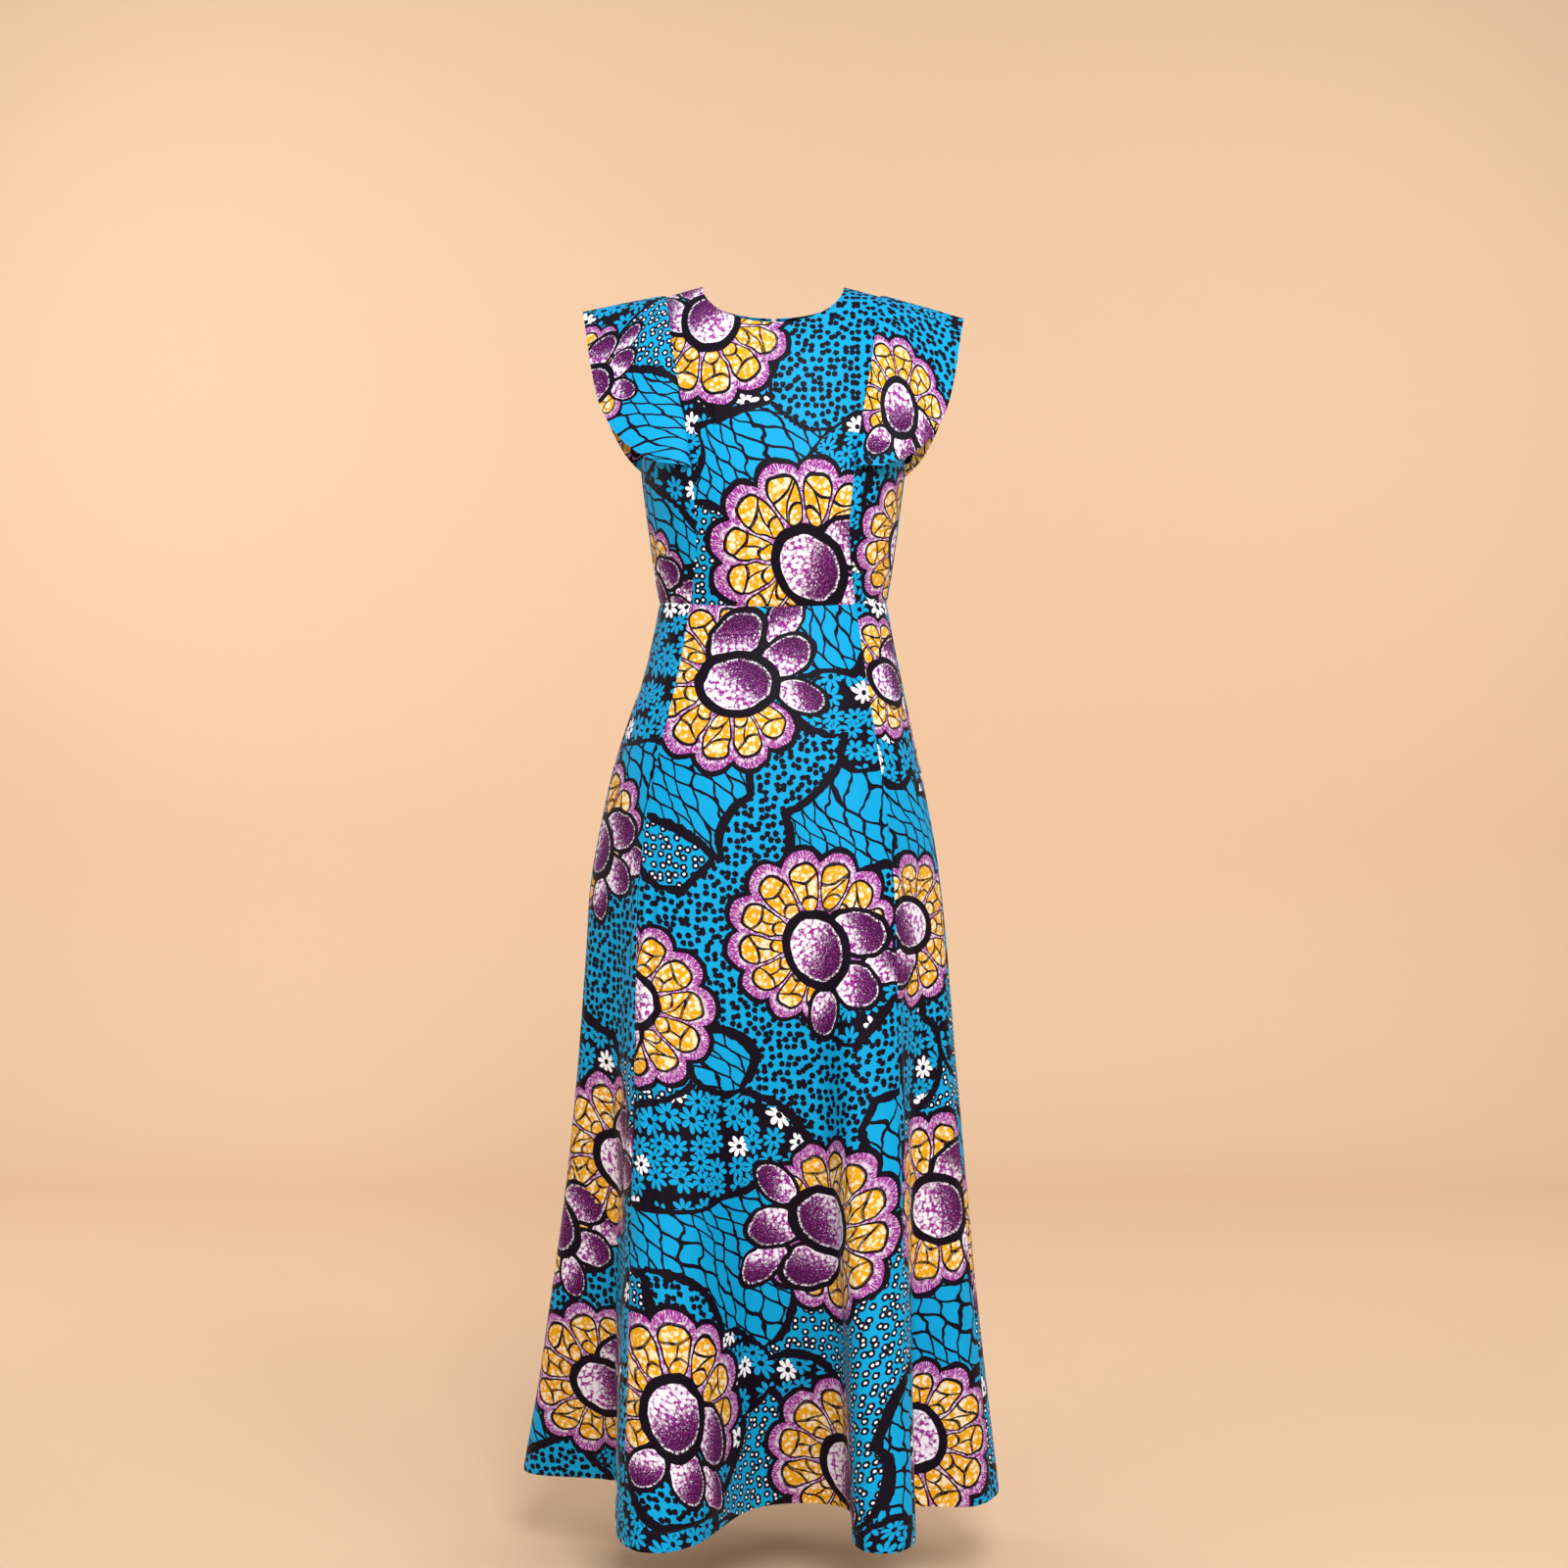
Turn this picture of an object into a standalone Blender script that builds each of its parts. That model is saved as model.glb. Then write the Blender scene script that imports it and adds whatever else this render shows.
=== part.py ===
"""Wax print dress: princess bodice, wing sleeves, flared panel skirt and centre back zip.

Worn hollow form. Sizes are in millimetres and become metres when a mesh is made. +Z is up, the
wearer faces -Y, and the origin lies midway between the two neck points of the shoulders. "left"
and "right" are the viewer's sides, seen from the front, so right is +X.
"""

import math
from collections import namedtuple

import bmesh
import bpy
from mathutils import Matrix, Vector

MM = 0.001

# ---- Cloth -------------------------------------------------------------------------------------
WALL = 1.6
WING_WALL = 2.0
SEAM_GAP = 0.32
CORNER_GAP = 0.44             # where the two panels lean against each other
SHARP_DEGREES = 40            # edges that turn more than this are shaded sharp
TURN_STEP = 0.3               # degrees, height parameter, millimetres and share over which
HEIGHT_STEP = 0.02            # the slope of a surface is measured
DROP_STEP = 2.0
WING_STEP = 0.01

# ---- Bodice ------------------------------------------------------------------------------------
WAIST_Z = -367.0
WAIST_DIP = 10.0              # how far the waist seam drops at the centre front
CHEST_Z = -150.0              # above this level the cloth rounds over the shoulders
SECTION_POWER = 2.3           # how square a level section is: 2 is an ellipse
SHOULDER_POWER = {"front": 2.0, "back": 2.8}
NECK_HALF_WIDTH = 82.0
NECK_DROP = {"front": 56.0, "back": 20.0}
SHOULDER_SLOPE = 0.27
UNDERARM = 0.75               # height parameter of the armhole's lowest point
SIDE_SEAM = 80.0              # degrees round from the centre front
# Height parameter: 0 waist, 1 chest level, 2 top of the shoulder, over 2 down the other side.
SHOULDER_SEAM = {"left": 1.96, "right": 1.84}

Level = namedtuple("Level", "z half_width front back")
TORSO = (
    Level(-367, 131, 92, 84),
    Level(-335, 137, 101, 86),
    Level(-295, 143, 111, 90),
    Level(-240, 150, 119, 96),
    Level(-200, 154, 114, 99),
    Level(-150, 158, 102, 98),
)

SeamX = namedtuple("SeamX", "height front back")
PRINCESS = (
    SeamX(0.00, 93, 82),
    SeamX(0.33, 86, 84),
    SeamX(0.70, 92, 92),
    SeamX(1.00, 103, 103),
    SeamX(1.25, 112, 112),
    SeamX(1.60, 121, 121),
    SeamX(2.00, 126, 126),
)

Edge = namedtuple("Edge", "height degrees")
ARMHOLE = (
    Edge(0.75, SIDE_SEAM),
    Edge(0.78, 70),
    Edge(0.83, 63),
    Edge(0.90, 58),
    Edge(1.00, 54.5),
    Edge(1.20, 53),
    Edge(1.60, 55),
    Edge(2.00, 57.5),
)

BODICE_ROWS = (0, 0.13, 0.27, 0.42, 0.56, 0.68, 0.75, 0.78, 0.83, 0.90, 1.00, 1.15, 1.32, 1.5)
FRONT_SHOULDER_ROWS = 3
BACK_SHOULDER_ROWS = 4
NECK_COLUMNS = 6              # from the centre to the neck point, closer near the neck point
STRAP_COLUMNS = 2
SIDE_COLUMNS = 5

# ---- Wing sleeves ------------------------------------------------------------------------------
# Share 0 is the front foot of the wing, 1 the top of the shoulder, 2 the back foot.
WING_FOOT = 0.68              # height parameter where the wing runs out of the princess seam
WING_COLUMNS = 6
WING_BOW = {"front": 5.0, "back": 9.0}   # how far a wing arches out between its seam and its edge
BOW_LEAN = 0.6                # under 1 moves the top of that arch towards the seam
BOW_TOP = 0.3                 # share of the arch that is left on top of the shoulder
WING_REACH = {"front": 1.0, "back": 1.12}
WING_TILT = {"left": 1.0, "right": -7.0}

WingEdge = namedtuple("WingEdge", "share out reach z")
WING_EDGE = (
    WingEdge(0.00, 127, 101, -217),
    WingEdge(0.12, 150, 97, -206),
    WingEdge(0.24, 171, 90, -189),
    WingEdge(0.36, 185, 81, -170),
    WingEdge(0.50, 198, 68, -142),
    WingEdge(0.65, 207, 51, -105),
    WingEdge(0.80, 214, 31, -66),
    WingEdge(0.92, 219, 12, -40),
    WingEdge(1.00, 222, 0, -27),
)

# ---- Skirt -------------------------------------------------------------------------------------
BLOOM_Z = -520.0              # the folds start to open out here
HIP_Z = -700.0
HEM_Z = -1392.0
HEM_LEVEL_ROWS = 7
HIP_ROWS = 7
SKIRT_SEAM = {"front": 43.0, "side": SIDE_SEAM, "back": 141.0}   # degrees round at the waist
SKIRT_COLUMNS = {"front_centre": 22, "front_side": 14, "back_side": 12, "back_centre": 12}

HipLevel = namedtuple("HipLevel", "z left right front back")
HIPS = (
    HipLevel(-367, 131, 131, 92, 84),
    HipLevel(-405, 139, 138, 98, 93),
    HipLevel(-451, 150, 147, 108, 106),
    HipLevel(-500, 166, 157, 119, 120),
    HipLevel(-565, 186, 170, 127, 130),
    HipLevel(-630, 199, 180, 134, 139),
    HipLevel(-700, 208, 187, 138, 146),
    HipLevel(-770, 209, 189, 138, 147),
)

# Hem plan, clockwise from the front as seen from above: each fold's ridge, then the valley after it.
Fold = namedtuple("Fold", "name degrees x y width bloom v_degrees v_x v_y v_width")
FOLDS = (
    Fold("front_right", 36, 128, -222, 66, 1.5, 57, 160, -84, 22),
    Fold("side_right", 82, 256, -34, 96, 1.4, 106, 196, 66, 44),
    Fold("back_right", 132, 160, 196, 92, 1.5, 156, 54, 128, 46),
    Fold("back_middle", 180, -2, 158, 56, 1.5, 204, -54, 132, 46),
    Fold("back_left", 229, -134, 216, 96, 1.5, 254, -214, 128, 44),
    Fold("side_left", 280, -296, 88, 88, 1.8, 304, -188, 6, 30),
    Fold("front_left", 322, -138, -220, 90, 1.5, 362, 32, -78, 96),
)
FRONT_CENTRE = 360.0          # degrees, where the list above comes round again
RIDGE_TURN = 0.38             # share of the turn to the next valley that half a ridge takes
RIDGE_ROUND = 0.20            # share of a fold's depth by which its ridge rounds off
VALLEY_TURN = 0.10            # share of the turn between ridges that half a valley takes

# ---- Zip ---------------------------------------------------------------------------------------
ZIP_START = 6.0               # below the neck edge
ZIP_END_Z = -560.0
ZIP_OPENING = 5.0             # between the two folded edges of the back
TAPE_WIDTH = 26.0
TAPE_THICK = 0.9
TAPE_CLEAR = 0.35             # more room behind the cloth, which curves round the back
COIL_WIDTH = 4.0
SLIDER_DOWN = 36.0            # along the zip from the neck edge to below the slider
SLIDER = Vector((8.0, 2.4, 11.0))
SLIDER_BEVEL = 0.5
BRIDGE_WIDTH = 2.0
BRIDGE_BAR = 0.9
BRIDGE_HALF_LENGTH = 3.2
BRIDGE_SINK = 0.8             # its feet go this far into the slider
PIN_RADIUS = 0.6
PIN_PLAY = 0.35
TAB_THICK = 1.2
TAB_LENGTH = 24.0
TAB_HALF_WIDTH = 3.4
TAB_SIDES = 28
EYE_LENGTH = 4.6
EYE_HALF_WIDTH = 1.5
EYE_SQUARE = 0.6              # powers of sine and cosine: 1 is an ellipse, less is squarer
TAB_SQUARE = 0.8
REST = 0.45                   # a hard piece clears the cloth it lies on by this much

# ---- Colours (linear) --------------------------------------------------------------------------
CLOTH = {"base": (0.0, 0.42, 0.70, 1.0), "roughness": 0.72, "metallic": 0.0}
TAPE = {"base": (0.02, 0.10, 0.20, 1.0), "roughness": 0.80, "metallic": 0.0}
BRASS = {"base": (0.62, 0.50, 0.30, 1.0), "roughness": 0.32, "metallic": 1.0}


def clear_scene():
    for thing in list(bpy.data.objects):
        bpy.data.objects.remove(thing, do_unlink=True)


def material(name, look):
    made = bpy.data.materials.new(name)
    made.use_nodes = True
    shader = made.node_tree.nodes["Principled BSDF"]
    shader.inputs["Base Color"].default_value = look["base"]
    shader.inputs["Roughness"].default_value = look["roughness"]
    shader.inputs["Metallic"].default_value = look["metallic"]
    made.diffuse_color = look["base"]
    return made


def add_object(name, mesh, finish):
    mesh.materials.append(finish)
    made = bpy.data.objects.new(name, mesh)
    bpy.context.scene.collection.objects.link(made)
    return made


# ---- Reading the tables ------------------------------------------------------------------------
def read(table, column, at):
    """Smooth value of a column where the table's first column equals `at`."""
    rows = sorted(table, key=lambda row: row[0])
    keys = [row[0] for row in rows]
    values = [getattr(row, column) for row in rows]
    if at <= keys[0]:
        return values[0]
    if at >= keys[-1]:
        return values[-1]
    i = max(k for k in range(len(keys) - 1) if keys[k] <= at)
    span = keys[i + 1] - keys[i]
    slopes = []
    for k in (i, i + 1):
        low, high = max(k - 1, 0), min(k + 1, len(keys) - 1)
        slopes.append((values[high] - values[low]) / (keys[high] - keys[low]) * span)
    t = (at - keys[i]) / span
    return (values[i] * (1 + 2 * t) * (1 - t) ** 2 + slopes[0] * t * (1 - t) ** 2
            + values[i + 1] * t * t * (3 - 2 * t) + slopes[1] * t * t * (t - 1))


def power(value, exponent):
    """Signed power, so that sections stay symmetrical."""
    return math.copysign(abs(value) ** exponent, value)


def blend(low, high, share):
    return low + (high - low) * share


def steps(low, high, count):
    return [blend(low, high, k / count) for k in range(count + 1)]


# ---- Surfaces ----------------------------------------------------------------------------------
def section(degrees, widths, depths):
    """Point of a level section. widths is (left, right) and depths is (front, back)."""
    angle = math.radians(degrees)
    across = power(math.sin(angle), 2 / SECTION_POWER)
    along = power(math.cos(angle), 2 / SECTION_POWER)
    width = widths[1] if across > 0 else widths[0]
    depth = depths[0] if along > 0 else depths[1]
    return Vector((width * across, -depth * along))


def ridge_z(x):
    """Height of the shoulder line above the origin's level."""
    return -SHOULDER_SLOPE * max(abs(x) - NECK_HALF_WIDTH, 0.0)


def waist_dip(degrees):
    """Drop of the waist seam below its level at the sides."""
    return WAIST_DIP * max(math.cos(math.radians(degrees)), 0.0) ** 2


def torso(degrees, height):
    """Bodice surface. Past height 2 it comes down on the other side of the shoulder."""
    if height > 2:
        return torso(180.0 - degrees, 4.0 - height)
    z = blend(WAIST_Z, CHEST_Z, min(height, 1.0))
    width = read(TORSO, "half_width", z)
    flat = section(degrees, (width, width), (read(TORSO, "front", z), read(TORSO, "back", z)))
    z -= waist_dip(degrees) * max(1.0 - height, 0.0)
    if height > 1:
        face = "front" if flat.y < 0 else "back"
        exponent = 2 / SHOULDER_POWER[face]
        rise = (height - 1) * math.pi / 2
        flat.y *= max(math.cos(rise), 0.0) ** exponent
        z += (ridge_z(flat.x) - z) * math.sin(rise) ** exponent
    return Vector((flat.x, flat.y, z))


def degrees_at(x, height):
    """Degrees round from the nearer centre line at which the bodice reaches x."""
    z = blend(WAIST_Z, CHEST_Z, min(height, 1.0))
    share = min(abs(x) / read(TORSO, "half_width", z), 1.0)
    return math.degrees(math.asin(share ** (SECTION_POWER / 2)))


def princess_x(height, face):
    if height > 2:
        height, face = 4 - height, "front"
    return read(PRINCESS, face, height)


def armhole_degrees(height):
    """Edge of the side panels: the side seam below the underarm, the armhole above it."""
    return read(ARMHOLE, "degrees", min(height, 4 - height))


def neck_height(share, face):
    """Height parameter where a column at this share of the princess seam meets the neck edge."""
    low, high = 1.0, 2.0
    for _ in range(40):
        middle = (low + high) / 2
        x = share * princess_x(middle, face)
        inside = max(1 - (x / NECK_HALF_WIDTH) ** 2, 0.0)
        edge = -NECK_DROP[face] * math.sqrt(inside)
        turn = 0.0 if face == "front" else 180.0
        z = torso(turn + degrees_at(x, middle), middle).z
        low, high = (middle, high) if z < edge else (low, middle)
    return low


def hem_knots():
    """Points of the hem plan with the degrees and bloom they grow from, round once."""
    knots = []
    for index, fold in enumerate(FOLDS):
        before = FOLDS[index - 1]
        start = before.v_degrees - (FRONT_CENTRE if index == 0 else 0)
        ridge, valley = Vector((fold.x, fold.y)), Vector((fold.v_x, fold.v_y))
        last = Vector((before.v_x, before.v_y))
        outward = (ridge - (last + valley) / 2).normalized()
        sideways = Vector((outward.y, -outward.x))
        if sideways.dot(valley - last) < 0:
            sideways.negate()
        depth = (ridge - (last + valley) / 2).length
        for side in (-1, 0, 1):
            place = ridge + sideways * side * fold.width / 2
            place -= outward * abs(side) * RIDGE_ROUND * depth
            beside = start if side < 0 else fold.v_degrees
            turn = blend(fold.degrees, beside, RIDGE_TURN * abs(side))
            knots.append((turn, place.x, place.y, fold.bloom))
        following = FOLDS[(index + 1) % len(FOLDS)]
        next_ridge = Vector((following.x, following.y))
        along = (next_ridge - ridge).normalized()
        wide = (following.degrees - fold.degrees) % FRONT_CENTRE * VALLEY_TURN
        for side in (-1, 1):
            place = valley + along * side * fold.v_width / 2
            knots.append((fold.v_degrees + side * wide, place.x, place.y, fold.bloom))
    return knots


KNOTS = hem_knots()


def hem_at(degrees):
    """Hem plan point and bloom for the surface line that leaves the waist at these degrees."""
    turn = degrees % FRONT_CENTRE
    count = len(KNOTS)

    def knot(k):
        lap, place = divmod(k, count)
        row = KNOTS[place]
        return (row[0] + lap * FRONT_CENTRE,) + row[1:]

    i = max(k for k in range(-2, count) if knot(k)[0] <= turn)
    rows = [knot(k) for k in range(i - 1, i + 3)]
    span = rows[2][0] - rows[1][0]
    t = (turn - rows[1][0]) / span
    values = []
    for column in (1, 2, 3):
        near = (rows[2][column] - rows[0][column]) / (rows[2][0] - rows[0][0]) * span
        far = (rows[3][column] - rows[1][column]) / (rows[3][0] - rows[1][0]) * span
        values.append(rows[1][column] * (1 + 2 * t) * (1 - t) ** 2 + near * t * (1 - t) ** 2
                      + rows[2][column] * t * t * (3 - 2 * t) + far * t * t * (t - 1))
    return Vector(values[:2]), values[2]


def skirt(degrees, z):
    """Skirt surface: fitted to the hips, then each line runs out to its place at the hem."""
    plan = section(degrees, (read(HIPS, "left", z), read(HIPS, "right", z)),
                   (read(HIPS, "front", z), read(HIPS, "back", z)))
    if z < BLOOM_Z:
        hem, bloom = hem_at(degrees)
        plan = plan.lerp(hem, ((BLOOM_Z - z) / (BLOOM_Z - HEM_Z)) ** bloom)
    dip = waist_dip(degrees) * max(z - HIP_Z, 0.0) / (WAIST_Z - HIP_Z)
    return Vector((plan.x, plan.y, z - dip))


# ---- Walls -------------------------------------------------------------------------------------
def trim_edges(grid, trims):
    """Pulls the named edges of a grid in by their seam allowance of air."""
    rows, columns = len(grid), len(grid[0])
    moved = [list(line) for line in grid]
    for edge, gap in trims.items():
        for k in range(columns if edge in ("bottom", "top") else rows):
            at, inner = {
                "bottom": ((0, k), (1, k)),
                "top": ((rows - 1, k), (rows - 2, k)),
                "start": ((k, 0), (k, 1)),
                "end": ((k, columns - 1), (k, columns - 2)),
            }[edge]
            pull = (grid[inner[0]][inner[1]] - grid[at[0]][at[1]]).normalized()
            moved[at[0]][at[1]] = moved[at[0]][at[1]] + pull * gap
    return moved


def wall(name, grid, normals, finish, thick=WALL):
    """Closed wall of even thickness on both sides of a grid of points.

    Rows run upwards and columns run so that across x up points out of the garment."""
    shell = bmesh.new()
    sheets = []
    for side in (1, -1):
        sheets.append([[shell.verts.new((point + normal * side * thick / 2) * MM)
                        for point, normal in zip(row, line)] for row, line in zip(grid, normals)])
    outer, inner = sheets
    rows, columns = len(grid), len(grid[0])
    for i in range(rows - 1):
        for j in range(columns - 1):
            shell.faces.new((outer[i][j], outer[i][j + 1], outer[i + 1][j + 1], outer[i + 1][j]))
            shell.faces.new((inner[i][j], inner[i + 1][j], inner[i + 1][j + 1], inner[i][j + 1]))
    for i in range(rows - 1):
        shell.faces.new((outer[i][0], outer[i + 1][0], inner[i + 1][0], inner[i][0]))
        shell.faces.new((outer[i + 1][-1], outer[i][-1], inner[i][-1], inner[i + 1][-1]))
    for j in range(columns - 1):
        shell.faces.new((outer[0][j + 1], outer[0][j], inner[0][j], inner[0][j + 1]))
        shell.faces.new((outer[-1][j], outer[-1][j + 1], inner[-1][j + 1], inner[-1][j]))
    bmesh.ops.triangulate(shell, faces=shell.faces[:], quad_method="SHORT_EDGE")
    mesh = bpy.data.meshes.new(name)
    shell.to_mesh(mesh)
    shell.free()
    mesh.shade_smooth()
    mesh.set_sharp_from_angle(angle=math.radians(SHARP_DEGREES))
    return add_object(name, mesh, finish)


def level_normal(normal):
    """The same direction without its lean, for the edges that meet at the waist."""
    return Vector((normal.x, normal.y, 0)).normalized()


# ---- Bodice ------------------------------------------------------------------------------------
def seam_height(side, face):
    """Height parameter of the shoulder seam, counted on the face's own side."""
    return SHOULDER_SEAM[side] if face == "front" else 4 - SHOULDER_SEAM[side]


def bodice_rows(side, face):
    """Height parameters of a bodice panel's rows, shared by all panels on that side."""
    top = seam_height(side, face)
    extra = FRONT_SHOULDER_ROWS if face == "front" else BACK_SHOULDER_ROWS
    return list(BODICE_ROWS) + steps(BODICE_ROWS[-1], top, extra)[1:]


def around(x, height, side, face):
    """Degrees round the body of a point at distance x from the centre line."""
    turn = degrees_at(x, min(height, 4 - height))
    if face == "back":
        turn = 180 - turn
    return turn if side == "right" else -turn


def bodice_normal(degrees, height):
    """Outward normal of the bodice, level at the waist seam."""
    middle = max(height, HEIGHT_STEP)
    if abs(middle - 2) < HEIGHT_STEP:
        middle = 2 + math.copysign(HEIGHT_STEP, height - 2.001)
    across = torso(degrees + TURN_STEP, middle) - torso(degrees - TURN_STEP, middle)
    up = torso(degrees, middle + HEIGHT_STEP) - torso(degrees, middle - HEIGHT_STEP)
    normal = across.cross(up).normalized()
    return level_normal(normal) if height <= 0 else normal


def bodice_panel(name, lines, finish, trims):
    """Panel whose columns are lists of (degrees, height), bottom to top."""
    rows = list(zip(*lines))
    grid = [[torso(*at) for at in row] for row in rows]
    normals = [[bodice_normal(*at) for at in row] for row in rows]
    return wall(name, trim_edges(grid, trims), normals, finish)


def centre_shares(side, face):
    """Shares of the princess seam's distance, from the centre line out to the seam."""
    neck_point = NECK_HALF_WIDTH / princess_x(seam_height(side, face), face)
    middle = [neck_point * math.sin(a) for a in steps(0, math.pi / 2, NECK_COLUMNS)]
    return middle + steps(neck_point, 1.0, STRAP_COLUMNS)[1:]


def centre_line(share, side, face, inset=0.0):
    """Column of a centre panel, which ends at the neck edge or at the shoulder seam.

    At the centre both sides use the left side's rows, so that their edges match there."""
    rows, shared = bodice_rows(side, face), bodice_rows("left", face)
    top = rows[-1]
    outward = min(share * princess_x(top, face) / NECK_HALF_WIDTH, 1.0)
    if outward < 1 - 1e-6:
        top = min(top, neck_height(share, face))
    line = []
    for own, common in zip(rows, shared):
        height = top * blend(common / shared[-1], own / rows[-1], outward)
        x = max(share * princess_x(height, face), inset)
        line.append((around(x, height, side, face), height))
    return line


def bodice_front_centre(finish):
    left = [centre_line(share, "left", "front") for share in centre_shares("left", "front")]
    right = [centre_line(share, "right", "front") for share in centre_shares("right", "front")]
    lines = left[:0:-1] + right
    gap = SEAM_GAP / 2
    trims = {"bottom": CORNER_GAP / 2, "top": gap, "start": gap, "end": gap}
    return bodice_panel("bodice_front_centre", lines, finish, trims)


def bodice_back_centre(side, finish):
    lines = [centre_line(share, side, "back", inset=ZIP_OPENING / 2)
             for share in centre_shares(side, "back")]
    gap = SEAM_GAP / 2
    trims = {"bottom": CORNER_GAP / 2, "top": gap, "end": gap}
    if side == "right":
        lines.reverse()
        trims["start"] = trims.pop("end")
    return bodice_panel("bodice_back_centre_" + side, lines, finish, trims)


def bodice_side(side, face, finish):
    """Side panel, from the princess seam to the side seam and the armhole."""
    lines = []
    sign = 1 if side == "right" else -1
    for share in steps(0, 1, SIDE_COLUMNS):
        line = []
        for height in bodice_rows(side, face):
            near = around(princess_x(height, face), height, side, face)
            edge = armhole_degrees(height)
            if face == "back" and height > UNDERARM:
                edge = 180 - edge
            line.append((blend(near, sign * edge, share), height))
        lines.append(line)
    if (side == "right") != (face == "front"):
        lines.reverse()
    gap = SEAM_GAP / 2
    trims = {"bottom": CORNER_GAP / 2, "top": gap, "start": gap, "end": gap}
    return bodice_panel("bodice_" + face + "_side_" + side, lines, finish, trims)


# ---- Wing sleeves ------------------------------------------------------------------------------
def wing_point(reach, share, side):
    """Wing surface: reach runs from the princess seam to the edge, share over the shoulder."""
    sign = 1 if side == "right" else -1
    near = max(min(share, 2 - share), 0)
    face = "front" if share <= 1 else "back"
    height = blend(WING_FOOT, 2.0, near)
    turn = around(princess_x(height, face), height, side, face)
    normal = bodice_normal(turn, height)
    root = torso(turn, height) + normal * (WALL / 2 + WING_WALL / 2 + SEAM_GAP)
    along = WING_REACH[face] * read(WING_EDGE, "reach", near)
    edge = Vector((sign * read(WING_EDGE, "out", near), -along if face == "front" else along,
                   read(WING_EDGE, "z", near) + WING_TILT[side] * (1 + near) / 2))
    bow = WING_BOW[face] * math.sin(math.pi * min(reach, 1) ** BOW_LEAN)
    bow *= blend(1.0, BOW_TOP, near ** 3)
    return root.lerp(edge, reach) + normal * bow


def wing_normal(reach, share, side):
    """Outward normal of a wing, from short steps over its surface."""
    inner = max(reach - WING_STEP, 0)
    across = wing_point(reach + WING_STEP, share, side) - wing_point(inner, share, side)
    along = wing_point(reach, share + WING_STEP, side) - wing_point(reach, share - WING_STEP, side)
    normal = across.cross(along) if side == "right" else along.cross(across)
    return normal.normalized()


def wing(side, face, finish):
    """Wing panel, on the same rows as the bodice panels that it is sewn between."""
    heights = [height for height in bodice_rows(side, face) if height >= WING_FOOT]
    shares = [(height - WING_FOOT) / (2 - WING_FOOT) for height in heights]
    if face == "back":
        shares = [2 - (height - WING_FOOT) / (2 - WING_FOOT) for height in heights]
    outward = -1 if (side == "right") != (face == "front") else 1
    reaches = steps(0, 1, WING_COLUMNS)[::outward]
    grid, normals = [], []
    for share in shares:
        grid.append([wing_point(reach, share, side) for reach in reaches])
        normals.append([wing_normal(reach, share, side) for reach in reaches])
    trimmed = trim_edges(grid, {"top": CORNER_GAP / 2})
    return wall("wing_" + face + "_" + side, trimmed, normals, finish, WING_WALL)


# ---- Skirt -------------------------------------------------------------------------------------
def skirt_levels():
    """Heights of the skirt panels' rows, from the hem up to the waist."""
    return [HEM_Z + (HIP_Z - HEM_Z) * share for share in steps(0, 1, HEM_LEVEL_ROWS)][:-1] \
        + steps(HIP_Z, WAIST_Z, HIP_ROWS)


def skirt_normal(degrees, z):
    """Outward normal of the skirt, level at the waist seam."""
    across = skirt(degrees + TURN_STEP, z) - skirt(degrees - TURN_STEP, z)
    up = skirt(degrees, min(z + DROP_STEP, WAIST_Z)) - skirt(degrees, max(z - DROP_STEP, HEM_Z))
    normal = across.cross(up).normalized()
    return level_normal(normal) if z > WAIST_Z - DROP_STEP else normal


def skirt_panel(name, start, end, columns, finish, zip_edge=None):
    """Panel between two surface lines, given in degrees round from the centre front.

    zip_edge is the column, 0 or -1, that opens for the zip."""
    turns = steps(start, end, columns)
    grid = [[skirt(turn, z) for turn in turns] for z in skirt_levels()]
    normals = [[skirt_normal(turn, z) for turn in turns] for z in skirt_levels()]
    gap = SEAM_GAP / 2
    trimmed = trim_edges(grid, {"top": CORNER_GAP / 2, "start": gap, "end": gap})
    for row in trimmed:
        if zip_edge is not None and row[zip_edge].z > ZIP_END_Z:
            row[zip_edge].x = math.copysign(ZIP_OPENING / 2, row[zip_edge].x)
    return wall(name, trimmed, normals, finish)


def make_skirt(finish):
    front, side, back = (SKIRT_SEAM[key] for key in ("front", "side", "back"))
    count = SKIRT_COLUMNS
    skirt_panel("skirt_front_centre", -front, front, count["front_centre"], finish)
    skirt_panel("skirt_front_side_right", front, side, count["front_side"], finish)
    skirt_panel("skirt_front_side_left", -side, -front, count["front_side"], finish)
    skirt_panel("skirt_back_side_right", side, back, count["back_side"], finish)
    skirt_panel("skirt_back_side_left", -back, -side, count["back_side"], finish)
    skirt_panel("skirt_back_centre_right", back, 180, count["back_centre"], finish, -1)
    skirt_panel("skirt_back_centre_left", -180, -back, count["back_centre"], finish, 0)


def make_bodice(finish):
    bodice_front_centre(finish)
    for side in ("left", "right"):
        bodice_back_centre(side, finish)
        for face in ("front", "back"):
            bodice_side(side, face, finish)
            wing(side, face, finish)


# ---- Zip ---------------------------------------------------------------------------------------
def zip_line():
    """Centre back line with its normals, on the panels' own rows, from the neck edge down."""
    line = [(torso(180, height), bodice_normal(180, height))
            for _, height in reversed(centre_line(0, "left", "back"))]
    levels = [z for z in reversed(skirt_levels()) if WAIST_Z > z > ZIP_END_Z]
    return line + [(skirt(180, z), skirt_normal(180, z)) for z in levels]


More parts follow.
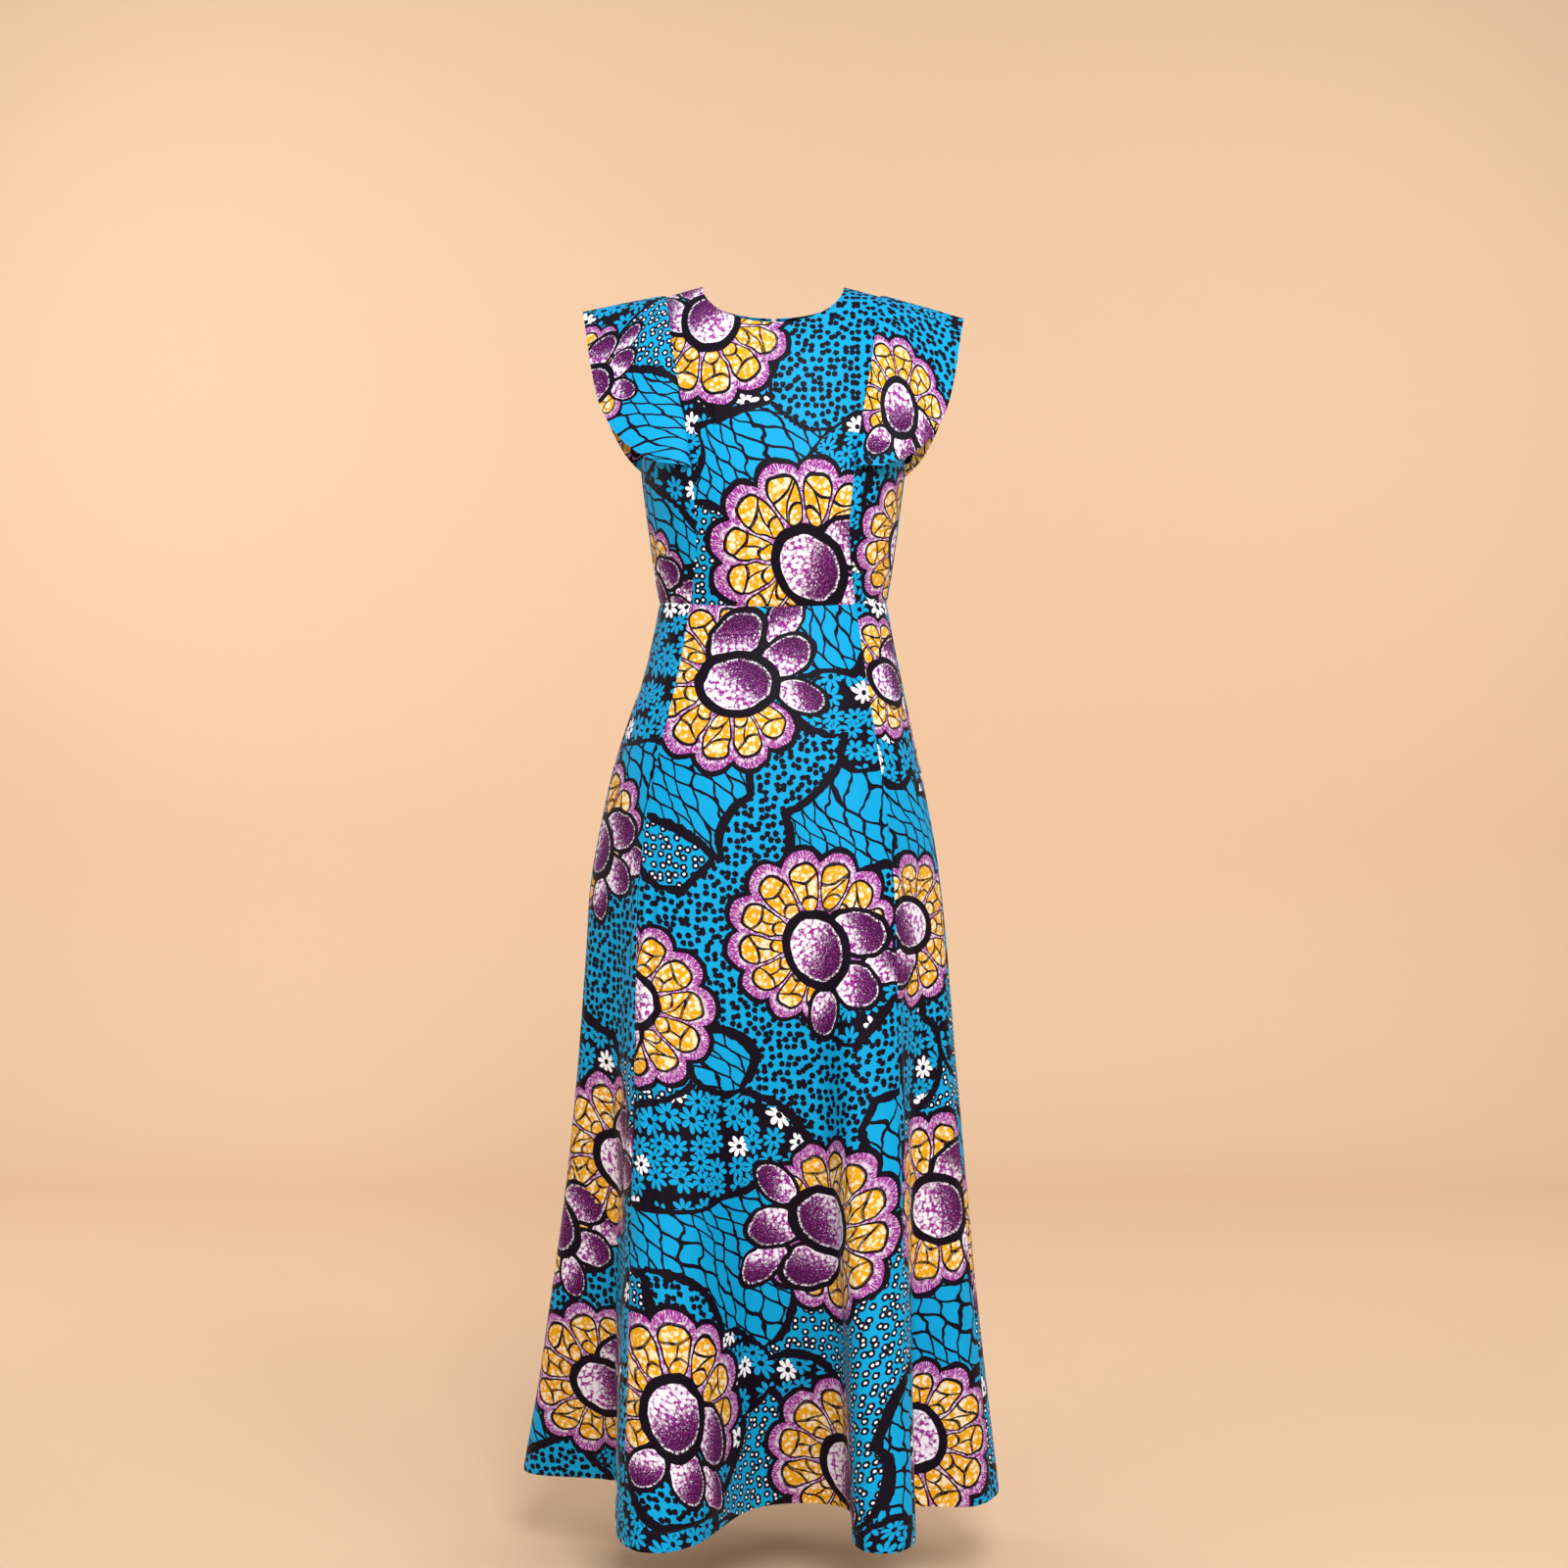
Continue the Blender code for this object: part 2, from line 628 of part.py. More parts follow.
def zip_chain(finish):
    """Tape behind the cloth with the closed coil standing up between the folded edges."""
    low = -WALL / 2 - SEAM_GAP - TAPE_CLEAR - TAPE_THICK
    face = low + TAPE_THICK
    tape, coil = TAPE_WIDTH / 2, COIL_WIDTH / 2
    profile = ((-tape, low), (tape, low), (tape, face), (coil, face),
               (coil, WALL / 2), (-coil, WALL / 2), (-coil, face), (-tape, face))
    line = zip_line()
    first = (line[1][0] - line[0][0]).normalized()
    line[0] = (line[0][0] + first * ZIP_START, line[0][1])
    chain = bmesh.new()
    rings = []
    for point, normal in line:
        spots = [point + Vector((x, 0, 0)) + normal * out for x, out in profile]
        rings.append([chain.verts.new(spot * MM) for spot in spots])
    for upper, lower in zip(rings, rings[1:]):
        for k in range(len(profile)):
            following = (k + 1) % len(profile)
            chain.faces.new((upper[k], upper[following], lower[following], lower[k]))
    chain.faces.new(rings[0][::-1])
    chain.faces.new(rings[-1])
    bmesh.ops.recalc_face_normals(chain, faces=chain.faces[:])
    mesh = bpy.data.meshes.new("zip_chain")
    chain.to_mesh(mesh)
    chain.free()
    return add_object("zip_chain", mesh, finish)


def slider_frame():
    """Middle of a straight stretch of the zip below the neck, as a matrix in millimetres.

    Its axes are x, outwards from the back, and up along the zip."""
    line = [point for point, _ in zip_line()]
    gone = 0.0
    for above, below in zip(line, line[1:]):
        gone += (below - above).length
        if gone > SLIDER_DOWN:
            break
    up = (above - below).normalized()
    out = up.cross(Vector((1, 0, 0))).normalized()
    middle = (above + below) / 2
    frame = Matrix((Vector((1, 0, 0)), out, up)).transposed().to_4x4()
    frame.translation = middle
    return frame


def pin_height():
    """Height of the pull tab's pin above the middle of the cloth."""
    return WALL / 2 + REST + SLIDER.y + PIN_PLAY + PIN_RADIUS


def zip_slider(frame, finish):
    """Slider body with the bridge that holds the pull tab."""
    base = WALL / 2 + REST
    body = bmesh.new()
    bmesh.ops.create_cube(body, size=1.0)
    bmesh.ops.scale(body, vec=SLIDER, verts=body.verts[:])
    bmesh.ops.translate(body, vec=(0, base + SLIDER.y / 2, 0), verts=body.verts[:])
    bmesh.ops.bevel(body, geom=body.edges[:], offset=SLIDER_BEVEL, segments=2,
                    affect="EDGES")
    foot = PIN_RADIUS + PIN_PLAY
    reach = BRIDGE_HALF_LENGTH
    top = pin_height() + foot
    sink = base + SLIDER.y - BRIDGE_SINK
    outline = ((-reach, sink), (-reach, top + BRIDGE_BAR), (reach, top + BRIDGE_BAR),
               (reach, sink), (reach - BRIDGE_BAR, sink), (reach - BRIDGE_BAR, top),
               (BRIDGE_BAR - reach, top), (BRIDGE_BAR - reach, sink))
    bridge = bmesh.new()
    side = [bridge.verts.new((-BRIDGE_WIDTH / 2, out, along)) for along, out in outline]
    face = bridge.faces.new(side)
    pulled = bmesh.ops.extrude_face_region(bridge, geom=[face])
    moved = [item for item in pulled["geom"] if isinstance(item, bmesh.types.BMVert)]
    bmesh.ops.translate(bridge, vec=(BRIDGE_WIDTH, 0, 0), verts=moved)
    bmesh.ops.recalc_face_normals(bridge, faces=bridge.faces[:])
    objects = []
    for name, form in (("zip_slider", body), ("slider_bridge", bridge)):
        mesh = bpy.data.meshes.new(name)
        form.transform(Matrix.Scale(MM, 4) @ frame)
        form.to_mesh(mesh)
        form.free()
        objects.append(add_object(name, mesh, finish))
    slider, tool = objects
    join = slider.modifiers.new("bridge", "BOOLEAN")
    join.operation = "UNION"
    join.object = tool
    tool.hide_render = True
    tool.display_type = "WIRE"
    return slider


def zip_pull(frame, finish):
    """Pull tab: an eye whose top bar is the pin under the bridge, and a rounded tab below it."""
    sides = TAB_SIDES
    outer, inner = [], []
    eye_middle = -PIN_RADIUS - EYE_LENGTH / 2
    for k in range(sides):
        turn = 2 * math.pi * k / sides
        x, z = math.sin(turn), math.cos(turn)
        inner.append((EYE_HALF_WIDTH * power(x, EYE_SQUARE),
                      eye_middle + EYE_LENGTH / 2 * power(z, EYE_SQUARE)))
        if z >= 0:
            width = EYE_HALF_WIDTH + 2 * PIN_RADIUS
            reach = EYE_LENGTH / 2 + 2 * PIN_RADIUS
        else:
            width = TAB_HALF_WIDTH
            reach = TAB_LENGTH + eye_middle
        outer.append((width * power(x, EYE_SQUARE), eye_middle + reach * power(z, TAB_SQUARE)))
    tab = bmesh.new()
    loops = []
    for ring, half in ((outer, 1), (inner, 1), (inner, -1), (outer, -1)):
        loops.append([tab.verts.new((x, half * TAB_THICK / 2, z)) for x, z in ring])
    for first, second in zip(loops, loops[1:] + loops[:1]):
        for k in range(sides):
            following = (k + 1) % sides
            tab.faces.new((first[k], first[following], second[following], second[k]))
    bmesh.ops.recalc_face_normals(tab, faces=tab.faces[:])
    tab.transform(Matrix.Scale(MM, 4) @ frame.to_3x3().to_4x4())
    mesh = bpy.data.meshes.new("zip_pull")
    tab.to_mesh(mesh)
    tab.free()
    pull = add_object("zip_pull", mesh, finish)
    pull.location = frame @ Vector((0, pin_height(), 0)) * MM
    return pull


def make_zip(tape, metal):
    zip_chain(tape)
    frame = slider_frame()
    zip_slider(frame, metal)
    zip_pull(frame, metal)


def main():
    clear_scene()
    cloth = material("wax_print_cotton", CLOTH)
    make_bodice(cloth)
    make_skirt(cloth)
    make_zip(material("zip_tape", TAPE), material("zip_brass", BRASS))


main()
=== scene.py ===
"""Wax print dress: cloth, print, sewing, zip and the studio round them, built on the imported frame.

Sizes in the tables are in millimetres and become metres when a mesh is made. +Z is up, the wearer
faces -Y, and "left" and "right" are the viewer's sides, seen from the front, so right is +X.
"""

import math
from collections import namedtuple
from functools import partial, reduce

import bmesh
import bpy
import numpy as np
from bpy.props import FloatProperty, FloatVectorProperty, PointerProperty
from bpy.types import Operator, Panel, PropertyGroup
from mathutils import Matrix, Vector


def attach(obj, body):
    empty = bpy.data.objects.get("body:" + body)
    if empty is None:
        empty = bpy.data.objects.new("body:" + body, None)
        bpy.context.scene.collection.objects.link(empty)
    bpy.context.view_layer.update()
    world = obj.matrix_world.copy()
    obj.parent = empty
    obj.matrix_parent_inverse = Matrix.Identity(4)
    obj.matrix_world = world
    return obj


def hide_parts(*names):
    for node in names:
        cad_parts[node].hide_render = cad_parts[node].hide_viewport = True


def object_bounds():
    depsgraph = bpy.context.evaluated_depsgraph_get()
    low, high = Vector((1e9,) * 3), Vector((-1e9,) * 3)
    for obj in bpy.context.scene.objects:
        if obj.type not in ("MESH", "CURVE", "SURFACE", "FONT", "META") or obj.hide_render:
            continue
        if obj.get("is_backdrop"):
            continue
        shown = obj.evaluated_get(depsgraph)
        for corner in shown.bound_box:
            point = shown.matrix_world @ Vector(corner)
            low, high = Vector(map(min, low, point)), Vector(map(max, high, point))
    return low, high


bl_info = {
    "name": "Wax print dress",
    "version": (1, 0, 0),
    "blender": (4, 5, 0),
    "location": "View3D > Sidebar > Dress",
    "description": "Builds a long wax print dress with wing sleeves, panel skirt and back zip",
    "category": "Object",
}

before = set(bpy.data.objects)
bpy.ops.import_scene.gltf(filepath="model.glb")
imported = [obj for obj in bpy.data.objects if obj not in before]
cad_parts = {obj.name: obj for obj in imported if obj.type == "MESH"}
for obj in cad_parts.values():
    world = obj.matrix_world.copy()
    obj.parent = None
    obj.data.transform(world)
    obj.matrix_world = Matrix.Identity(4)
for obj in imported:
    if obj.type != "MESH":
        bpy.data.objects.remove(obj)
CAD_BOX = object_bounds()

MM = 0.001
SIDES = ("left", "right")
FACES = ("front", "back")

# ---- Bodice form -------------------------------------------------------------------------------
WAIST_Z = -367.0
WAIST_DIP = 10.0
CHEST_Z = -150.0
SECTION_POWER = 2.3
SHOULDER_POWER = {"front": 2.0, "back": 2.8}
NECK_HALF_WIDTH = 82.0
NECK_DROP = {"front": 56.0, "back": 20.0}
SHOULDER_SLOPE = 0.27
UNDERARM = 0.75
SIDE_SEAM = 80.0
SHOULDER_SEAM = {"left": 1.96, "right": 1.84}

Level = namedtuple("Level", "z half_width front back")
TORSO = (
    Level(-367, 131, 92, 84),
    Level(-335, 137, 101, 86),
    Level(-295, 143, 111, 90),
    Level(-240, 150, 119, 96),
    Level(-200, 154, 114, 99),
    Level(-150, 158, 102, 98),
)
SeamX = namedtuple("SeamX", "height front back")
PRINCESS = (
    SeamX(0.00, 93, 82),
    SeamX(0.33, 86, 84),
    SeamX(0.70, 92, 92),
    SeamX(1.00, 103, 103),
    SeamX(1.25, 112, 112),
    SeamX(1.60, 121, 121),
    SeamX(2.00, 126, 126),
)
Edge = namedtuple("Edge", "height degrees")
ARMHOLE = (
    Edge(0.75, SIDE_SEAM),
    Edge(0.78, 70),
    Edge(0.83, 63),
    Edge(0.90, 58),
    Edge(1.00, 54.5),
    Edge(1.20, 53),
    Edge(1.60, 55),
    Edge(2.00, 57.5),
)

# ---- Wing sleeves ------------------------------------------------------------------------------
WING_FOOT = 0.68
WING_BOW = {"front": 5.0, "back": 9.0}
BOW_LEAN = 0.6
BOW_TOP = 0.3
WING_REACH = {"front": 1.0, "back": 1.12}
WING_TILT = {"left": 1.0, "right": -7.0}
WingEdge = namedtuple("WingEdge", "share out reach z")
WING_EDGE = (
    WingEdge(0.00, 127, 101, -217),
    WingEdge(0.12, 150, 97, -206),
    WingEdge(0.24, 171, 90, -189),
    WingEdge(0.36, 185, 81, -170),
    WingEdge(0.50, 198, 68, -142),
    WingEdge(0.65, 207, 51, -105),
    WingEdge(0.80, 214, 31, -66),
    WingEdge(0.92, 219, 12, -40),
    WingEdge(1.00, 222, 0, -27),
)

# ---- Skirt form --------------------------------------------------------------------------------
BLOOM_Z = -520.0
HIP_Z = -700.0
HEM_Z = -1392.0
SKIRT_SEAM = {"front": 43.0, "side": SIDE_SEAM, "back": 141.0}
HipLevel = namedtuple("HipLevel", "z left right front back")
HIPS = (
    HipLevel(-367, 131, 131, 92, 84),
    HipLevel(-405, 139, 138, 98, 93),
    HipLevel(-451, 150, 147, 108, 106),
    HipLevel(-500, 166, 157, 119, 120),
    HipLevel(-565, 186, 170, 127, 130),
    HipLevel(-630, 199, 180, 134, 139),
    HipLevel(-700, 208, 187, 138, 146),
    HipLevel(-770, 209, 189, 138, 147),
)
Fold = namedtuple("Fold", "name degrees x y width bloom v_degrees v_x v_y v_width")
FOLDS = (
    Fold("front_right", 36, 128, -222, 66, 1.5, 57, 160, -84, 22),
    Fold("side_right", 82, 256, -34, 96, 1.4, 106, 196, 66, 44),
    Fold("back_right", 132, 160, 196, 92, 1.5, 156, 54, 128, 46),
    Fold("back_middle", 180, -2, 158, 56, 1.5, 204, -54, 132, 46),
    Fold("back_left", 229, -134, 216, 96, 1.5, 254, -214, 128, 44),
    Fold("side_left", 280, -296, 88, 88, 1.8, 304, -188, 6, 30),
    Fold("front_left", 322, -138, -220, 90, 1.5, 362, 32, -78, 96),
)
TURN = 360.0
RIDGE_TURN = 0.38
RIDGE_ROUND = 0.20
VALLEY_TURN = 0.10

# ---- Zip, as the solids have it ----------------------------------------------------------------
ZIP_START = 6.0
ZIP_END_Z = -560.0
ZIP_OPENING = 5.0
TAPE_WIDTH = 26.0
ROOT_LIFT = 2.12              # from the middle of the bodice's cloth to the middle of the wing's


# ---- Reading the tables ------------------------------------------------------------------------
def hermite(start, end, leave, arrive, t):
    return (start * (1 + 2 * t) * (1 - t) ** 2 + leave * t * (1 - t) ** 2
            + end * t * t * (3 - 2 * t) + arrive * t * t * (t - 1))


def curve_through(keys, values, at):
    """Smooth curve through the keys, held level beyond both ends."""
    keys, values = np.asarray(keys, float), np.asarray(values, float)
    low = np.maximum(np.arange(len(keys)) - 1, 0)
    high = np.minimum(np.arange(len(keys)) + 1, len(keys) - 1)
    slopes = (values[high] - values[low]) / (keys[high] - keys[low])
    at = np.clip(np.asarray(at, float), keys[0], keys[-1])
    i = np.clip(np.searchsorted(keys, at, side="right") - 1, 0, len(keys) - 2)
    span = keys[i + 1] - keys[i]
    t = (at - keys[i]) / span
    return hermite(values[i], values[i + 1], slopes[i] * span, slopes[i + 1] * span, t)


def read(table, name, at):
    """Smooth value of a table's column where its first column equals `at`."""
    rows = sorted(table, key=lambda row: row[0])
    return curve_through([row[0] for row in rows], [getattr(row, name) for row in rows], at)


def power(value, exponent):
    return np.sign(value) * np.abs(value) ** exponent


def blend(low, high, share):
    return low + (high - low) * share


def smooth(low, high, value):
    """0 below low, 1 above high and a soft step between."""
    t = np.clip((value - low) / (high - low), 0, 1)
    return t * t * (3 - 2 * t)


def unit(vectors):
    return vectors / np.maximum(np.linalg.norm(vectors, axis=-1, keepdims=True), 1e-9)


def step_lengths(points, axis=0):
    return np.linalg.norm(np.diff(points, axis=axis), axis=-1)


def run_along(points, axis=0):
    """Length from the start of each line of points that runs along an axis of a grid."""
    steps = step_lengths(points, axis)
    start = np.zeros_like(np.take(steps, [0], axis=axis))
    return np.concatenate([start, np.cumsum(steps, axis=axis)], axis=axis)


# ---- Surfaces ----------------------------------------------------------------------------------
def section(degrees, left, right, front, back):
    """Plan of a level section: half widths to each side, depths to the front and the back."""
    angle = np.radians(degrees)
    across = power(np.sin(angle), 2 / SECTION_POWER)
    along = power(np.cos(angle), 2 / SECTION_POWER)
    return (np.where(across > 0, right, left) * across,
            -np.where(along > 0, front, back) * along)


def ridge_z(x):
    return -SHOULDER_SLOPE * np.maximum(np.abs(x) - NECK_HALF_WIDTH, 0.0)


def waist_dip(degrees):
    return WAIST_DIP * np.maximum(np.cos(np.radians(degrees)), 0.0) ** 2


def torso(degrees, height):
    """Bodice surface. Height is 0 at the waist, 1 at the chest, 2 on top of the shoulder."""
    degrees, height = np.broadcast_arrays(np.asarray(degrees, float), np.asarray(height, float))
    over = height > 2
    degrees = np.where(over, 180.0 - degrees, degrees)
    height = np.where(over, 4.0 - height, height)
    level = blend(WAIST_Z, CHEST_Z, np.minimum(height, 1.0))
    width = read(TORSO, "half_width", level)
    x, y = section(degrees, width, width, read(TORSO, "front", level), read(TORSO, "back", level))
    z = level - waist_dip(degrees) * np.maximum(1.0 - height, 0.0)
    rise = np.clip(height - 1, 0, 1) * math.pi / 2
    exponent = np.where(y < 0, 2 / SHOULDER_POWER["front"], 2 / SHOULDER_POWER["back"])
    y = y * np.maximum(np.cos(rise), 0.0) ** exponent
    z = z + (ridge_z(x) - z) * np.sin(rise) ** exponent
    return np.stack((x, y, z), axis=-1)


def degrees_at(x, height):
    level = blend(WAIST_Z, CHEST_Z, np.minimum(height, 1.0))
    share = np.minimum(np.abs(x) / read(TORSO, "half_width", level), 1.0)
    return np.degrees(np.arcsin(share ** (SECTION_POWER / 2)))


def princess_x(height, face):
    own = read(PRINCESS, face, np.minimum(height, 2.0))
    return np.where(height > 2, read(PRINCESS, "front", 4 - np.maximum(height, 2.0)), own)


def armhole_degrees(height):
    return read(ARMHOLE, "degrees", np.minimum(height, 4 - height))


def around(x, height, side, face):
    """Degrees round the body of a point at distance x from the centre line."""
    turn = degrees_at(x, np.minimum(height, 4 - height))
    turn = turn if face == "front" else 180 - turn
    return turn if side == "right" else -turn


def neck_height(share, face):
    """Height where the column at this share of the princess seam meets the neck edge."""
    low, high = np.ones_like(share), np.full_like(share, 2.0)
    turn = 0.0 if face == "front" else 180.0
    for _ in range(36):
        middle = (low + high) / 2
        x = share * princess_x(middle, face)
        edge = -NECK_DROP[face] * np.sqrt(np.maximum(1 - (x / NECK_HALF_WIDTH) ** 2, 0.0))
        below = torso(turn + degrees_at(x, middle), middle)[..., 2] < edge
        low, high = np.where(below, middle, low), np.where(below, high, middle)
    return low


def hem_knots():
    """Plan points of the hem with the degrees and bloom they grow from, as rows, round once."""
    knots = []
    for index, fold in enumerate(FOLDS):
        before = FOLDS[index - 1]
        start = before.v_degrees - (TURN if index == 0 else 0)
        ridge, valley = np.array((fold.x, fold.y)), np.array((fold.v_x, fold.v_y))
        last = np.array((before.v_x, before.v_y))
        outward = ridge - (last + valley) / 2
        depth = np.linalg.norm(outward)
        outward = outward / depth
        sideways = np.array((outward[1], -outward[0]))
        if sideways.dot(valley - last) < 0:
            sideways = -sideways
        for side in (-1, 0, 1):
            place = ridge + sideways * side * fold.width / 2
            place = place - outward * abs(side) * RIDGE_ROUND * depth
            beside = start if side < 0 else fold.v_degrees
            turn = blend(fold.degrees, beside, RIDGE_TURN * abs(side))
            knots.append((turn, place[0], place[1], fold.bloom))
        following = FOLDS[(index + 1) % len(FOLDS)]
        along = unit(np.array((following.x, following.y)) - ridge)
        wide = (following.degrees - fold.degrees) % TURN * VALLEY_TURN
        for side in (-1, 1):
            place = valley + along * side * fold.v_width / 2
            knots.append((fold.v_degrees + side * wide, place[0], place[1], fold.bloom))
    return np.array(knots)


KNOTS = hem_knots()
HEM_LAPS = np.concatenate([KNOTS + (lap * TURN, 0, 0, 0) for lap in (-1, 0, 1)])


def skirt(degrees, z):
    """Skirt surface: fitted to the hips, then each line runs out to its place at the hem."""
    degrees, z = np.broadcast_arrays(np.asarray(degrees, float), np.asarray(z, float))
    x, y = section(degrees, read(HIPS, "left", z), read(HIPS, "right", z),
                   read(HIPS, "front", z), read(HIPS, "back", z))
    turn = degrees % TURN
    hem_x, hem_y, bloom = (curve_through(HEM_LAPS[:, 0], HEM_LAPS[:, k], turn) for k in (1, 2, 3))
    grown = (np.maximum(BLOOM_Z - z, 0) / (BLOOM_Z - HEM_Z)) ** bloom
    dip = waist_dip(degrees) * np.maximum(z - HIP_Z, 0.0) / (WAIST_Z - HIP_Z)
    return np.stack((blend(x, hem_x, grown), blend(y, hem_y, grown), z - dip), axis=-1)


TURN_STEP = 0.3
HEIGHT_STEP = 0.02
DROP_STEP = 2.0
WING_STEP = 0.01


def torso_normal(degrees, height):
    degrees, height = np.broadcast_arrays(np.asarray(degrees, float), np.asarray(height, float))
    middle = np.maximum(height, HEIGHT_STEP)
    near_top = np.abs(middle - 2) < HEIGHT_STEP
    middle = np.where(near_top, np.where(height <= 2, 2 - HEIGHT_STEP, 2 + HEIGHT_STEP), middle)
    across = torso(degrees + TURN_STEP, middle) - torso(degrees - TURN_STEP, middle)
    up = torso(degrees, middle + HEIGHT_STEP) - torso(degrees, middle - HEIGHT_STEP)
    return unit(np.cross(across, up))


def skirt_normal(degrees, z):
    degrees, z = np.broadcast_arrays(np.asarray(degrees, float), np.asarray(z, float))
    across = skirt(degrees + TURN_STEP, z) - skirt(degrees - TURN_STEP, z)
    up = (skirt(degrees, np.minimum(z + DROP_STEP, WAIST_Z))
          - skirt(degrees, np.maximum(z - DROP_STEP, HEM_Z)))
    return unit(np.cross(across, up))


def wing_point(reach, share, side):
    """Wing surface: reach runs from the princess seam to the edge, share over the shoulder."""
    reach, share = np.broadcast_arrays(np.asarray(reach, float), np.asarray(share, float))
    sign = 1 if side == "right" else -1
    near = np.clip(np.minimum(share, 2 - share), 0, None)
    front = share <= 1
    height = blend(WING_FOOT, 2.0, near)
    turn = np.where(front, around(princess_x(height, "front"), height, side, "front"),
                    around(princess_x(height, "back"), height, side, "back"))
    normal = torso_normal(turn, height)
    root = torso(turn, height) + normal * ROOT_LIFT
    along = read(WING_EDGE, "reach", near)
    along = np.where(front, WING_REACH["front"], WING_REACH["back"]) * along
    edge = np.stack((sign * read(WING_EDGE, "out", near), np.where(front, -along, along),
                     read(WING_EDGE, "z", near) + WING_TILT[side] * (1 + near) / 2), axis=-1)
    bow = (np.where(front, WING_BOW["front"], WING_BOW["back"])
           * np.sin(math.pi * np.clip(reach, 0, 1) ** BOW_LEAN) * blend(1.0, BOW_TOP, near ** 3))
    return blend(root, edge, reach[..., None]) + normal * bow[..., None]


def wing_normal(reach, share, side):
    inner = np.maximum(reach - WING_STEP, 0)
    across = wing_point(reach + WING_STEP, share, side) - wing_point(inner, share, side)
    along = wing_point(reach, share + WING_STEP, side) - wing_point(reach, share - WING_STEP, side)
    normal = np.cross(across, along) if side == "right" else np.cross(along, across)
    return unit(normal)


# ---- Cutting the panels ------------------------------------------------------------------------
CLOTH_THICK = 0.36
CLOTH_LIFT = 0.50             # outer layer of cloth above the middle of the solid's wall
LAYER = 0.62                  # a turned-in edge lies this far under the layer it is pressed to
SEAM_TURN = 12.0              # seam allowance
HEM_TURN = 24.0
NECK_TURN = 16.0
GROOVE = 0.55                 # how deep the cloth dips where two panels are sewn
GROOVE_WIDTH = 2.2
MESH_STEP = 5.5               # spacing of the mesh on the cloth
ROW_STRETCH = 1.25            # skirt rows are this much further apart than columns
FOLD_WIDTH = 0.12             # a folded edge turns under within this
NEAR_EDGE = 1.6               # rows next to an edge that keep it crisp
TURN_SHARE = 0.55             # middle row of a turned-in edge
CENTRE_LENGTH = 370.0         # usual lengths, which settle the count of mesh rows
SIDE_LENGTH = 400.0
SIDE_WIDTH = 60.0
SIDE_COLUMNS = 13
WING_ROWS = {"front": 46, "back": 50}
ROOT_DEPTH = 150.0            # how far a wing's root sinks into its seam, by its reach
ROOT_RISE = 60.0              # how steeply it does so, against its distance from the middle line

# A panel's mesh rows and columns as places on a surface, with the layers that they lie in and what
# its start, end, bottom and top edges are.
Cut = namedtuple("Cut", "name surface normal turns levels across up edges")


def edge_shares(length, start_turn, end_turn, count):
    """Shares from edge to edge of a strip: turned-in edges come back under the cloth."""
    fold, near = FOLD_WIDTH / length, NEAR_EDGE / length
    shares = np.concatenate([(0.0, near), np.linspace(2 * near, 1 - 2 * near, count),
                             (1 - near, 1.0)])
    if start_turn:
        under = np.array((start_turn, start_turn * TURN_SHARE, NEAR_EDGE)) / length
        shares = np.concatenate([under, (fold,), shares])
    if end_turn:
        under = 1 - np.array((NEAR_EDGE, end_turn * TURN_SHARE, end_turn)) / length
        shares = np.concatenate([shares, (1 - fold,), under])
    return shares


def edge_layers(start_turn, end_turn, count):
    """How many layers down each of those shares lies."""
    layers = np.zeros(count + 4)
    if start_turn:
        layers[0] = 0.5
        layers = np.concatenate([(1, 1, 1, 0.85), layers])
    if end_turn:
        layers[-1] = 0.5
        layers = np.concatenate([layers, (0.85, 1, 1, 1)])
    return layers


def strip_length(points, axis=0):
    return step_lengths(points, axis).sum(axis=axis)


def path_length(surface, start, end, steps=14):
    """Length over a surface between two arrays of (turn, level), straight in those numbers."""
    total = 0.0
    last = surface(*start)
    for k in range(1, steps + 1):
        share = k / steps
        here = surface(blend(start[0], end[0], share), blend(start[1], end[1], share))
        total = total + np.linalg.norm(here - last, axis=-1)
        last = here
    return total


def cut_skirt():
    """The seven skirt panels, each between two lines of degrees."""
    front, side, back = SKIRT_SEAM["front"], SKIRT_SEAM["side"], SKIRT_SEAM["back"]
    spans = (("skirt_front_centre", -front, front), ("skirt_front_side_right", front, side),
             ("skirt_front_side_left", -side, -front), ("skirt_back_side_right", side, back),
             ("skirt_back_side_left", -back, -side), ("skirt_back_centre_right", back, 180.0),
             ("skirt_back_centre_left", -180.0, -back))
    count = int((WAIST_Z - HEM_Z) / MESH_STEP / ROW_STRETCH)
    z = blend(HEM_Z, WAIST_Z, edge_shares(WAIST_Z - HEM_Z, HEM_TURN, SEAM_TURN, count))
    row_layers = edge_layers(HEM_TURN, SEAM_TURN, count)
    for name, start, end in spans:
        widths = strip_length(skirt(np.linspace(start, end, 60)[:, None], z[None, :]))
        columns = int(widths.max() / MESH_STEP)
        shares = np.array([edge_shares(width, SEAM_TURN, SEAM_TURN, columns) for width in widths])
        turns = blend(start, end, shares)
        levels = np.repeat(z[:, None], turns.shape[1], axis=1)
        yield Cut(name, skirt, skirt_normal, turns, levels,
                  edge_layers(SEAM_TURN, SEAM_TURN, columns), row_layers,
                  ("sewn", "sewn", "hem", "sewn"))


def top_height(share, side, face):
    """Height of a bodice column's upper end, and its place: neck edge or shoulder seam."""
    seam = SHOULDER_SEAM[side] if face == "front" else 4 - SHOULDER_SEAM[side]
    point = NECK_HALF_WIDTH / princess_x(seam, face)
    return np.where(share < point, np.minimum(neck_height(share, face), seam), seam)


